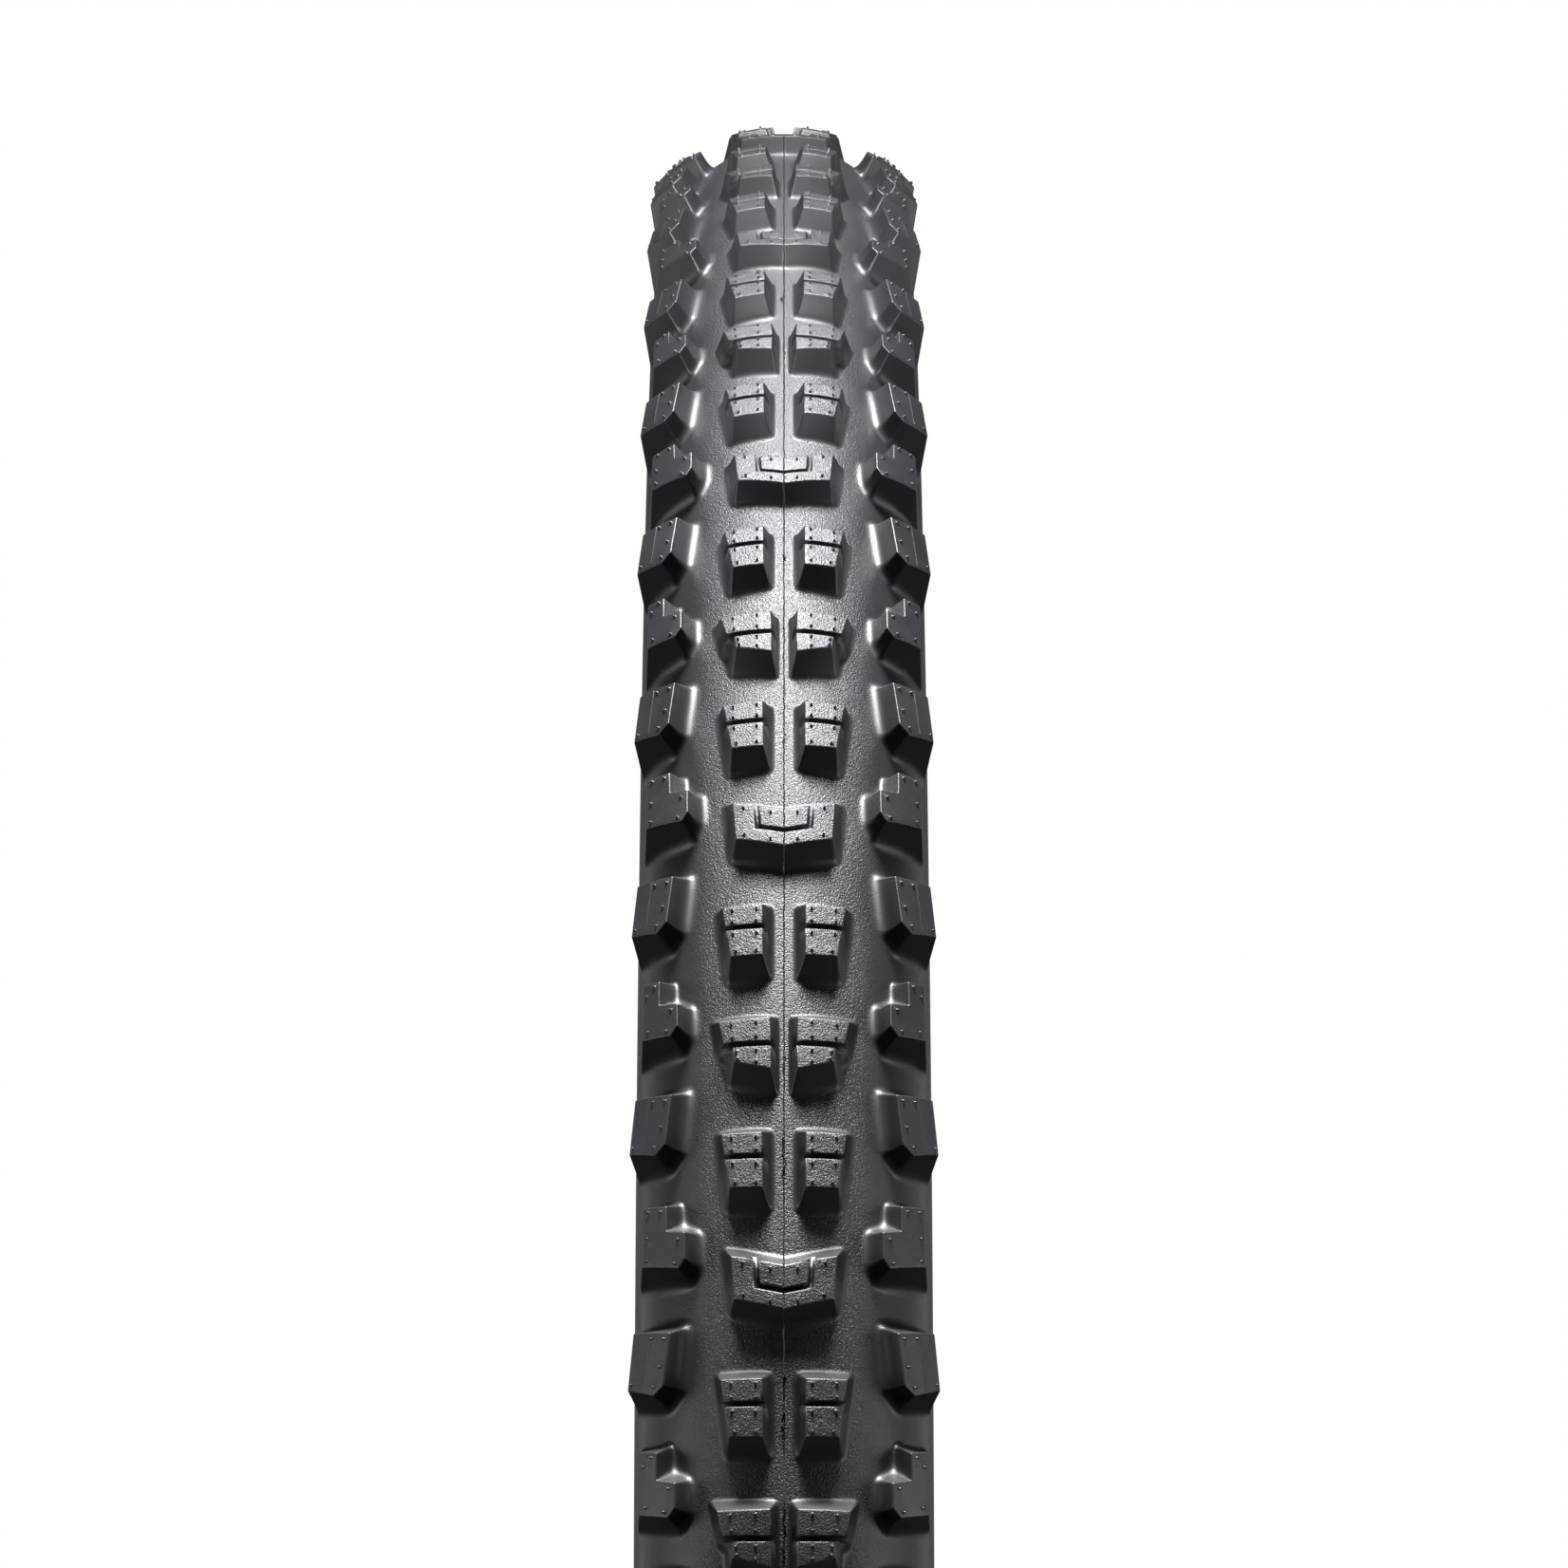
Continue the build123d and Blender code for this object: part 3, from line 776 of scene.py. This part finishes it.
def weld(scaled):
    """First index of each distinct rounded point, and each point's new index."""
    _, first, index = np.unique(np.round(scaled).astype(np.int64), axis=0,
                                return_index=True, return_inverse=True)
    return first, index.reshape(-1)


def without_collapsed(faces):
    a, b, c = faces.T
    return faces[(a != b) & (b != c) & (c != a)]


def around_tire(soup):
    """Welds one period and repeats it all round: points in metres, faces, grain."""
    corners = np.array(soup.triangles, float).reshape(-1, 3)
    first, index = weld(corners * 2e4)
    points = corners[first]
    grain = np.zeros(len(points))
    np.maximum.at(grain, index, np.array(soup.grain, float).reshape(-1))
    grain = fade_grain(points, grain)
    faces = without_collapsed(index.reshape(-1, 3))
    all_points, all_faces = [], []
    periods = ROWS // ROWS_PER_PERIOD
    for p in range(periods):
        moved = points.copy()
        moved[:, 2] -= p * PERIOD
        all_points.append(moved)
        all_faces.append(faces + p * len(points))
    placed = to_metres(np.concatenate(all_points))
    first, index = weld(placed * 1e7 / 2)
    faces = without_collapsed(index[np.concatenate(all_faces)])
    return placed[first], faces, np.tile(grain, periods)[first]


def smooth_normals(points, faces):
    # area-weighted normals keep the flats flat beside narrow rounded edges
    face_normals = np.cross(points[faces[:, 1]] - points[faces[:, 0]],
                            points[faces[:, 2]] - points[faces[:, 0]])
    normals = np.zeros_like(points)
    for k in range(3):
        np.add.at(normals, faces[:, k], face_normals)
    normals /= np.maximum(np.linalg.norm(normals, axis=1), 1e-20)[:, None]
    # points on the skin take its exact normal, so the strips join unseen
    r = np.hypot(points[:, 0], points[:, 2]) * 1000
    y = points[:, 1] * 1000
    phi = np.arctan2(y, r - SECTION_R)
    radius = skin_radius(phi)
    on_skin = ((np.abs(np.hypot(r - SECTION_R, y) - radius) < 0.004)
               & (np.abs(phi) < math.radians(SKIN_END_DEG - 0.5)))
    outward = np.stack([points[:, 0], 0 * r, points[:, 2]], -1) * 1000 / r[:, None]
    step = 1e-4
    slope = (skin_radius(phi + step) - skin_radius(phi - step)) / (2 * step)
    normal_r = radius * np.cos(phi) + slope * np.sin(phi)
    normal_y = radius * np.sin(phi) - slope * np.cos(phi)
    length = np.hypot(normal_r, normal_y)
    exact = (outward * (normal_r / length)[:, None]
             + np.array([0, 1, 0]) * (normal_y / length)[:, None])
    normals[on_skin] = exact[on_skin]
    return normals


def tread_piece(name, soup, extra=None):
    """Mesh of a whole strip; extra is loose (points, faces) added to it."""
    points, faces, grain = around_tire(soup)
    if extra is not None:
        extra_points, extra_faces = extra
        faces = np.concatenate([faces, extra_faces + len(points)])
        points = np.concatenate([points, to_metres(extra_points)])
        grain = np.concatenate([grain, np.full(len(extra_points), 0.3)])
    normals = smooth_normals(points, faces)
    mesh = bpy.data.meshes.new(name)
    mesh.vertices.add(len(points))
    mesh.vertices.foreach_set("co", points.astype(np.float32).ravel())
    mesh.loops.add(len(faces) * 3)
    mesh.loops.foreach_set("vertex_index", faces.astype(np.int32).ravel())
    mesh.polygons.add(len(faces))
    mesh.polygons.foreach_set("loop_start", np.arange(0, len(faces) * 3, 3, dtype=np.int32))
    mesh.update(calc_edges=True)
    mesh.validate()
    mesh.polygons.foreach_set("use_smooth", np.ones(len(mesh.polygons), bool))
    attribute = mesh.attributes.new("grain", "FLOAT", "POINT")
    attribute.data.foreach_set("value", grain.astype(np.float32))
    mesh.normals_split_custom_set_from_vertices(normals.astype(np.float32).tolist())
    return add_object(name, mesh)


def lathe(name, profile, segments=360):
    """Closed ring about the axle from a closed (y, r) outline."""
    profile = np.array(profile, float)
    if signed_area(profile) > 0:
        profile = profile[::-1]
    count = len(profile)
    angle = np.linspace(0, 2 * math.pi, segments, endpoint=False)[:, None]
    points = np.stack([profile[None, :, 1] * np.cos(angle),
                       np.broadcast_to(profile[None, :, 0], (segments, count)),
                       profile[None, :, 1] * np.sin(angle)], -1).reshape(-1, 3) / 1000.0
    i = np.arange(segments)[:, None]
    j = (i + 1) % segments
    k = np.arange(count)[None, :]
    following = (k + 1) % count
    faces = np.stack([i * count + k, i * count + following,
                      j * count + following, j * count + k], -1).reshape(-1, 4)
    mesh = bpy.data.meshes.new(name)
    mesh.from_pydata(points.tolist(), [], faces.tolist())
    mesh.update()
    mesh.polygons.foreach_set("use_smooth", np.ones(len(mesh.polygons), bool))
    mesh.set_sharp_from_angle(angle=math.radians(32))
    return add_object(name, mesh)


# ------------------------------------------------------------------ casing rings
def section_at(radius, degrees):
    """Section point (y, r) on a bulged section circle."""
    phi = math.radians(degrees)
    radius = radius * float(bulge(phi))
    return radius * math.sin(phi), SECTION_R + radius * math.cos(phi)


# straight flank line, from the round of the casing down to the bead
FLANK_TOP = section_at(25.5, BULGE_END)
FLANK_FOOT = (11.1, 316.0)
FLANK_NORMAL = (FLANK_TOP[1] - FLANK_FOOT[1], FLANK_FOOT[0] - FLANK_TOP[0])
FLANK_LENGTH = math.hypot(*FLANK_NORMAL)


def beside_flank(distance):
    """Point (y, r) at the flank's middle, moved outward from the line."""
    return tuple(0.5 * (FLANK_TOP[i] + FLANK_FOOT[i]) + FLANK_NORMAL[i] / FLANK_LENGTH * distance
                 for i in range(2))


def flank_at_outside():
    """Where the flank's middle normal meets the circle of the outer surface."""
    low, high = 0.0, 12.0
    for _ in range(60):
        middle = 0.5 * (low + high)
        y, r = beside_flank(middle)
        if math.hypot(y, r - SECTION_R) < UNDER_R:
            low = middle
        else:
            high = middle
    return beside_flank(low)


# the sidewall and the chafer meet along the line between these two
SEAM_INNER = beside_flank(2.1)
SEAM_OUTER = flank_at_outside()
SEAM_DEG = math.degrees(math.atan2(SEAM_OUTER[0], SEAM_OUTER[1] - SECTION_R))
LINER_AIR_MIDDLE, LINER_OUTER_MIDDLE = beside_flank(-0.9), beside_flank(-0.5)

# raised ribs: section angle, width in degrees, height
SIDEWALL_RIBS = [(88.6, 1.9, 0.20), (91.6, 1.5, 0.12), (112.5, 2.2, 0.30),
                 (118.2, 1.5, 0.18), (120.6, 1.5, 0.18), (123.0, 1.5, 0.18)]
CHAFER_RIBS = [(138.5, 2.2, 0.22), (135.8, 1.6, 0.16), (133.4, 1.6, 0.16)]


def ribbed_point(degrees, ribs):
    """Section point on the outer surface, raised by the ribs."""
    rise = 0.0
    for middle, width, height in ribs:
        t = abs(degrees - middle) / (0.5 * width)
        if t < 1:
            rise += height * (0.5 + 0.5 * math.cos(math.pi * t))
    return section_at(UNDER_R + rise, degrees)


def arc(centre, radius, degrees):
    """(y, r) points about a centre; 0 degrees points to +Y, 90 away from the axle."""
    return [(centre[0] + radius * math.cos(math.radians(d)),
             centre[1] + radius * math.sin(math.radians(d))) for d in degrees]


def sidewall_outline():
    return ([ribbed_point(d, SIDEWALL_RIBS) for d in np.arange(60.0, SEAM_DEG, 0.75)]
            + [SEAM_OUTER, SEAM_INNER]
            + [section_at(26.5, d) for d in (116.0, 112.0, 108.0, 104.0, 100.0)]
            + [section_at(26.02, d) for d in (97.0, 93.8, 90.7, 84.3, 78.0, 70.0, 65.0, 60.0)])


def chafer_outline():
    outline = [SEAM_OUTER, SEAM_INNER, (14.5, 316.0), (14.5, 312.0), (14.0, 312.0),
               (13.5, 311.5), (11.1, 311.5), (10.6, 312.0), (10.6, 313.5), (10.1, 313.5)]
    # rounded foot corners, nearest the centre plane first
    outline += arc((10.32, 311.42), 0.42, range(180, 271, 15))
    outline += arc((14.6, 311.4), 0.4, range(270, 361, 18))
    outline += [(15.0, 313.0), (15.0, 315.4)]
    start, middle = np.array((15.0, 315.8)), np.array((15.0, 316.6))
    end = np.array(section_at(UNDER_R, 142.5))
    outline += [bezier(start, middle, end, k / 5) for k in range(6)]
    return outline + [ribbed_point(float(d), CHAFER_RIBS)
                      for d in np.arange(141.5, SEAM_DEG + 0.4, -1.0)]


def liner_outline():
    """Air side down to the right bead, back up outside, and mirrored to the left."""
    air = [section_at(24.6, d) for d in np.arange(0.0, 116.01, 2.0)]
    air += [LINER_AIR_MIDDLE, (10.15, 316.4), (10.1, 313.5)]
    outer = [(10.6, 313.5), (10.6, 316.2), LINER_OUTER_MIDDLE]
    outer += [section_at(24.99, d) for d in np.arange(116.0, -0.01, -2.0)]
    left_air = [(-y, r) for y, r in air][::-1]
    left_outer = [(-y, r) for y, r in outer][::-1]
    return left_air[:-1] + air + outer + left_outer[1:]


# ------------------------------------------------------------------ materials
def opaque(colour, factor=1.0):
    return tuple(c * factor for c in colour) + (1,)


class Shader:
    """A Principled material with short ways to add nodes."""

    def __init__(self, name):
        self.material = bpy.data.materials.new(name)
        self.material.use_nodes = True
        self.tree = self.material.node_tree
        self.tree.nodes.clear()
        output = self.node("ShaderNodeOutputMaterial")
        self.bsdf = self.node("ShaderNodeBsdfPrincipled")
        self.link(self.bsdf.outputs[0], output.inputs[0])

    def node(self, kind, **settings):
        """New node; settings are input values or node properties."""
        node = self.tree.nodes.new(kind)
        for key, value in settings.items():
            if key in node.inputs:
                node.inputs[key].default_value = value
            else:
                setattr(node, key, value)
        return node

    def link(self, output, socket):
        self.tree.links.new(output, socket)

    def feed(self, socket, value):
        if isinstance(value, (int, float, tuple)):
            socket.default_value = value
        else:
            self.link(value, socket)

    def math(self, operation, first, second=None, clamp=False):
        node = self.node("ShaderNodeMath", operation=operation, use_clamp=clamp)
        self.feed(node.inputs[0], first)
        if second is not None:
            self.feed(node.inputs[1], second)
        return node.outputs[0]

    def add(self, first, second, clamp=False):
        return self.math("ADD", first, second, clamp)

    def times(self, first, second):
        return self.math("MULTIPLY", first, second)

    def position(self, scale=1000.0):
        """Object coordinates, in millimetres by default."""
        coordinates = self.node("ShaderNodeTexCoord")
        scaled = self.node("ShaderNodeVectorMath", operation="SCALE", Scale=scale)
        self.link(coordinates.outputs["Object"], scaled.inputs[0])
        return scaled.outputs[0]

    def axes(self, position):
        separate = self.node("ShaderNodeSeparateXYZ")
        self.link(position, separate.inputs[0])
        return separate.outputs

    def around_axle(self, position, arc_radius):
        """Y, distance from the axle, and arc length around it at arc_radius."""
        axes = self.axes(position)
        x, z = axes["X"], axes["Z"]
        radius = self.math("SQRT", self.add(self.times(x, x), self.times(z, z)))
        return axes["Y"], radius, self.times(self.math("ARCTAN2", z, x), arc_radius)

    def texture(self, kind, vector, **settings):
        node = self.node(kind, **settings)
        self.link(vector, node.inputs["Vector"])
        return node.outputs

    def noise(self, vector, scale, detail=2.0, roughness=0.5):
        return self.texture("ShaderNodeTexNoise", vector, Scale=scale, Detail=detail,
                            Roughness=roughness)["Fac"]

    def ramp(self, factor, low, high):
        """Colour ramp between two (position, colour) stops."""
        node = self.node("ShaderNodeValToRGB")
        self.link(factor, node.inputs[0])
        for element, (position, colour) in zip(node.color_ramp.elements, (low, high)):
            element.position, element.color = position, colour
        return node.outputs[0]

    def mix(self, factor, first, second):
        node = self.node("ShaderNodeMix", data_type="RGBA")
        for socket, value in ((0, factor), (6, first), (7, second)):
            self.feed(node.inputs[socket], value)
        return node.outputs[2]

    def bump(self, height, strength, distance, normal=None):
        node = self.node("ShaderNodeBump", Distance=distance)
        self.feed(node.inputs["Strength"], strength)
        self.link(height, node.inputs["Height"])
        if normal is not None:
            self.link(normal, node.inputs["Normal"])
        return node.outputs[0]

    def finish(self, colour, roughness, normal):
        self.link(colour, self.bsdf.inputs["Base Color"])
        self.link(roughness, self.bsdf.inputs["Roughness"])
        self.link(normal, self.bsdf.inputs["Normal"])
        return self.material


def tread_material(name, painted_shade_scale=1.0):
    m = Shader(name)
    position = m.position()
    grain = m.node("ShaderNodeAttribute", attribute_name="grain").outputs["Fac"]
    # pebbled grain: small cells, shifted up to 0.5 mm and broken up by noise
    warp = m.texture("ShaderNodeTexNoise", position, Scale=1.6)
    warped_node = m.node("ShaderNodeVectorMath", operation="ADD")
    shift = m.node("ShaderNodeVectorMath", operation="SCALE", Scale=0.5)
    m.link(warp["Color"], shift.inputs[0])
    m.link(position, warped_node.inputs[0])
    m.link(shift.outputs[0], warped_node.inputs[1])
    warped = warped_node.outputs[0]
    cells = m.texture("ShaderNodeTexVoronoi", warped, feature="F1", Scale=2.8,
                      Randomness=1.0)["Distance"]
    lumps = m.noise(warped, scale=2.6, detail=2.0, roughness=0.6)
    pebbles = m.add(m.times(cells, -1.0), m.times(lumps, 0.9))
    fine = m.noise(position, scale=7.0, detail=3.0, roughness=0.6)
    # the bump follows the grain, with a trace of it left everywhere
    strength = m.add(m.times(grain, 0.97), 0.02, clamp=True)
    normal = m.bump(pebbles, strength, distance=0.00010)
    normal = m.bump(fine, strength=0.18, distance=0.00008, normal=normal)
    # mould parting line: wanders up to 0.35 mm off the centreline, fades over 1/7 mm; a shallow
    # groove in the bump, and painted shade in the colour
    across = m.axes(position)["Y"]
    wander = m.noise(position, scale=0.35, detail=3.0, roughness=0.7)
    wander = m.times(m.math("SUBTRACT", wander, 0.5), 0.7)
    distance = m.math("ABSOLUTE", m.add(across, wander))
    parting_groove_and_shade = m.math("SUBTRACT", 1.0, m.times(distance, 7.0), clamp=True)
    normal = m.bump(parting_groove_and_shade, strength=0.9, distance=-0.00025, normal=normal)
    # slow mottling, paler pebble crests (by 0.36) and painted shade along the parting-line
    # groove (by 0.8)
    slow = m.noise(position, scale=0.06, detail=3.0, roughness=0.6)
    # the colour is scaled by the last argument, which paints shade on the shoulder copy
    colour = m.ramp(slow, low=(0.30, opaque((0.0065, 0.0068, 0.0082), painted_shade_scale)),
                    high=(0.72, opaque((0.0115, 0.0122, 0.0145), painted_shade_scale)))
    crest = m.ramp(pebbles, low=(0.05, (0, 0, 0, 1)), high=(0.45, (1, 1, 1, 1)))
    colour = m.mix(m.times(m.times(crest, grain), 0.36), colour, (0.050, 0.052, 0.060, 1))
    # painted shade: the colour is darkened along the parting-line groove, where shade falls
    colour = m.mix(m.times(parting_groove_and_shade, 0.8), colour, (0.006, 0.006, 0.007, 1))
    # roughness 0.39, plus 0.12 by the mottling and 0.03 by the grain
    roughness = m.add(m.times(slow, 0.12), m.add(0.39, m.times(grain, 0.03)))
    m.bsdf.inputs["Specular IOR Level"].default_value = 0.5
    return m.finish(colour, roughness, normal)


def sidewall_material(name):
    m = Shader(name)
    position = m.position()
    _, radius, around = m.around_axle(position, arc_radius=345.0)
    # casing cords show through the skin at plus and minus 45 degrees
    cord_rate = 4.4          # radians per mm
    rising = m.times(m.add(around, radius), cord_rate)
    falling = m.times(m.math("SUBTRACT", around, radius), cord_rate)
    cords = m.add(m.times(m.math("SINE", rising), 0.5), m.times(m.math("SINE", falling), 0.25))
    fine = m.noise(position, scale=3.0, detail=4.0, roughness=0.6)
    normal = m.bump(cords, strength=0.35, distance=0.00010)
    normal = m.bump(fine, strength=0.35, distance=0.00012, normal=normal)
    slow = m.noise(position, scale=0.05, detail=3.0, roughness=0.6)
    colour = m.ramp(slow, low=(0.3, (0.020, 0.020, 0.022, 1)),
                    high=(0.75, (0.036, 0.036, 0.040, 1)))
    # roughness 0.42 to 0.62 by the fine noise
    return m.finish(colour, m.add(m.times(fine, 0.2), 0.42), normal)


def weave_material(name, base, pitch, roughness=0.7):
    m = Shader(name)
    position = m.position()
    y, radius, around = m.around_axle(position, arc_radius=318.0)
    across = m.add(radius, y)
    # two diagonal sine sets make the weave; 0.7 is about the cosine of 45 degrees
    rate = 2 * math.pi / pitch * 0.7
    warp = m.math("SINE", m.times(m.add(around, across), rate))
    weft = m.math("SINE", m.times(m.math("SUBTRACT", around, across), rate))
    # brought from -1..1 to 0..1
    thread = m.add(m.times(m.times(warp, weft), 0.5), 0.5)
    fuzz = m.noise(position, scale=5.0, detail=3.0, roughness=0.6)
    normal = m.bump(thread, strength=0.8, distance=0.00018)
    normal = m.bump(fuzz, strength=0.4, distance=0.00008, normal=normal)
    # dark gaps, light threads, and slow patches toward a middle tone
    colour = m.mix(thread, opaque(base, 0.65), opaque(base, 1.35))
    patches = m.times(m.noise(position, scale=0.08, detail=3.0), 0.5)
    colour = m.mix(patches, colour, opaque(base, 0.8))
    # roughness varies by 0.1 either way with the fuzz
    return m.finish(colour, m.add(m.times(fuzz, 0.2), roughness - 0.1), normal)


def rubber_material(name, base, roughness, line_rate=0.0):
    """Plain rubber; line_rate, in radians per mm of Y, adds fine rings."""
    m = Shader(name)
    position = m.position()
    fine = m.noise(position, scale=2.0, detail=4.0, roughness=0.6)
    slow = m.noise(position, scale=0.04, detail=3.0)
    colour = m.ramp(slow, low=(0.3, opaque(base, 0.75)), high=(0.7, opaque(base, 1.3)))
    # roughness varies over 0.25 with the fine noise
    varied = m.add(m.times(fine, 0.25), roughness - 0.12)
    normal = m.bump(fine, strength=0.4, distance=0.00015)
    if line_rate:
        lines = m.math("SINE", m.times(m.axes(position)["Y"], line_rate))
        normal = m.bump(lines, strength=0.25, distance=0.00012, normal=normal)
    return m.finish(colour, varied, normal)


def floor_material():
    """Looks pale to the camera but sends little light back under the tire."""
    m = Shader("stage_floor")
    m.bsdf.inputs["Roughness"].default_value = 0.9
    mottle = m.noise(m.position(scale=1.0), scale=1.5)
    colour = m.ramp(mottle, low=(0.3, (0.34, 0.34, 0.34, 1)), high=(0.7, (0.37, 0.37, 0.37, 1)))
    seen = m.node("ShaderNodeLightPath").outputs["Is Camera Ray"]
    m.bsdf.inputs["Emission Color"].default_value = (1, 1, 1, 1)
    glow = 0.62              # emission that only the camera sees
    m.link(m.times(seen, glow), m.bsdf.inputs["Emission Strength"])
    m.link(m.mix(seen, (0.02, 0.02, 0.02, 1), colour), m.bsdf.inputs["Base Color"])
    return m.material


def set_material(ob, material):
    ob.data.materials.clear()
    ob.data.materials.append(material)


# ------------------------------------------------------------------ build
tread_rubber = tread_material("tread_rubber")
# painted shade: the shoulder copy of the tread rubber is 0.95 as bright, for the dimmer light
# the shoulders get
shoulder_rubber = tread_material("shoulder_rubber", painted_shade_scale=0.95)
sidewall_rubber = sidewall_material("sidewall_rubber")
chafer_fabric = weave_material("chafer_fabric", (0.035, 0.035, 0.037), pitch=0.8)
ply_fabric = weave_material("ply_fabric", (0.10, 0.09, 0.075), pitch=0.7)
breaker_fabric = weave_material("breaker_fabric", (0.16, 0.14, 0.10), pitch=1.1)
liner_rubber = rubber_material("liner_rubber", (0.022, 0.022, 0.024), roughness=0.42,
                               line_rate=2.2)
undertread_rubber = rubber_material("undertread_rubber", (0.03, 0.03, 0.031), roughness=0.55)
bead_rubber = rubber_material("bead_rubber", (0.028, 0.028, 0.028), roughness=0.6)
bead_strand = weave_material("bead_strand", (0.55, 0.42, 0.14), pitch=0.5, roughness=0.5)


def fit(ob, node, material, slot):
    """Puts a finished piece in the place of its CAD node."""
    set_material(ob, material)
    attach(ob, "root")
    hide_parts(node)


fit(tread_piece("tread_center_molded", center_period(), parting_flash()),
    "tread_center", tread_rubber, "tread_rubber")
for tag, side in (("right", 1), ("left", -1)):
    fit(tread_piece(f"tread_shoulder_{tag}_molded", shoulder_period(side)),
        f"tread_shoulder_{tag}", shoulder_rubber, "shoulder_rubber")
for name, outline, material, slot in (
        ("sidewall_rubber", sidewall_outline(), sidewall_rubber, "sidewall_rubber"),
        ("chafer", chafer_outline(), chafer_fabric, "chafer_fabric")):
    for tag, side in (("right", 1), ("left", -1)):
        fit(lathe(f"{name}_{tag}_smooth", [(side * y, r) for y, r in outline]),
            f"{name}_{tag}", material, slot)
fit(lathe("inner_liner_smooth", liner_outline()), "inner_liner", liner_rubber, "liner_rubber")

# CAD pieces that keep their own shape
for node, material in {
        "tread_base": undertread_rubber, "breaker_belt": breaker_fabric,
        "casing_ply_outer": ply_fabric, "casing_ply_inner": ply_fabric,
        "bead_filler_left": bead_rubber, "bead_filler_right": bead_rubber,
        "bead_rubber_left": bead_rubber, "bead_rubber_right": bead_rubber,
        "bead_core_left": bead_strand, "bead_core_right": bead_strand}.items():
    set_material(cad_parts[node], material)

# ------------------------------------------------------------------ studio, in metres
FLOOR_Z = -0.3716
LIGHT_COLOUR = (0.955, 0.975, 1.0)

bpy.ops.mesh.primitive_plane_add(size=8.0, location=(0, 0, FLOOR_Z))
floor = bpy.context.object
floor.name = "stage_floor"
set_material(floor, floor_material())


def add_light(name, kind, location, target, power):
    light = bpy.data.lights.new(name, kind)
    light.energy = power
    ob = add_object(name, light)
    ob.location = location
    toward = Vector(target) - Vector(location)
    ob.rotation_euler = toward.to_track_quat("-Z", "Y").to_euler()
    return light


def area_light(name, location, target, width, height, power, spread=180.0):
    light = add_light(name, "AREA", location, target, power)
    light.color = LIGHT_COLOUR
    light.shape = "RECTANGLE"
    light.size = width
    light.size_y = height
    light.spread = math.radians(spread)


area_light("key_top", location=(0.31, 0.0, 1.87), target=(0.46, 0, 0.2),
           width=0.80, height=0.60, power=17.0, spread=46.0)
for tag, side in (("left", -1), ("right", 1)):
    area_light(f"rim_{tag}", location=(-0.75, side * 1.25, 0.20), target=(0.2, 0, 0.12),
               width=0.9, height=0.9, power=3)
for tag, side in (("left", -1), ("right", 1)):
    area_light(f"side_{tag}", location=(0.8, side * 1.7, 0.1), target=(0.25, 0, 0.12),
               width=0.9, height=0.9, power=13)
# narrow beam from +X onto the upper knobs
spot = add_light("front_upper", "SPOT", location=(1.95, 0.0, 0.46), target=(0.2, 0, 0.388),
                 power=500)
spot.spot_size = math.radians(5.2)
spot.spot_blend = 0.8
spot.shadow_soft_size = 0.05


def white_world(name, light_strength, seen_strength):
    """Dim white as light, bright white where the camera sees it."""
    world = bpy.data.worlds.new(name)
    bpy.context.scene.world = world
    world.use_nodes = True
    nodes, links = world.node_tree.nodes, world.node_tree.links
    nodes.clear()
    output = nodes.new("ShaderNodeOutputWorld")
    light_path = nodes.new("ShaderNodeLightPath")
    backgrounds = []
    for strength in (light_strength, seen_strength):
        background = nodes.new("ShaderNodeBackground")
        background.inputs[0].default_value = (1, 1, 1, 1)
        background.inputs[1].default_value = strength
        backgrounds.append(background)
    mix = nodes.new("ShaderNodeMixShader")
    links.new(light_path.outputs["Is Camera Ray"], mix.inputs[0])
    links.new(backgrounds[0].outputs[0], mix.inputs[1])
    links.new(backgrounds[1].outputs[0], mix.inputs[2])
    links.new(mix.outputs[0], output.inputs[0])


white_world("studio", light_strength=0.036, seen_strength=1.0)
bpy.context.scene.view_settings.view_transform = "Standard"
bpy.context.scene.view_settings.look = "None"

camera = bpy.data.cameras.new("photo_camera")
camera.type = "PERSP"
camera.sensor_width = 36.0
camera.lens = 188.991283
camera.clip_start = 0.05
camera.clip_end = 60.0
camera_object = add_object("photo_camera", camera)
camera_object.location = (1.8880, 0.0, 0.2214)
camera_object.rotation_euler = (math.radians(90), 0, math.radians(90))
bpy.context.scene.camera = camera_object
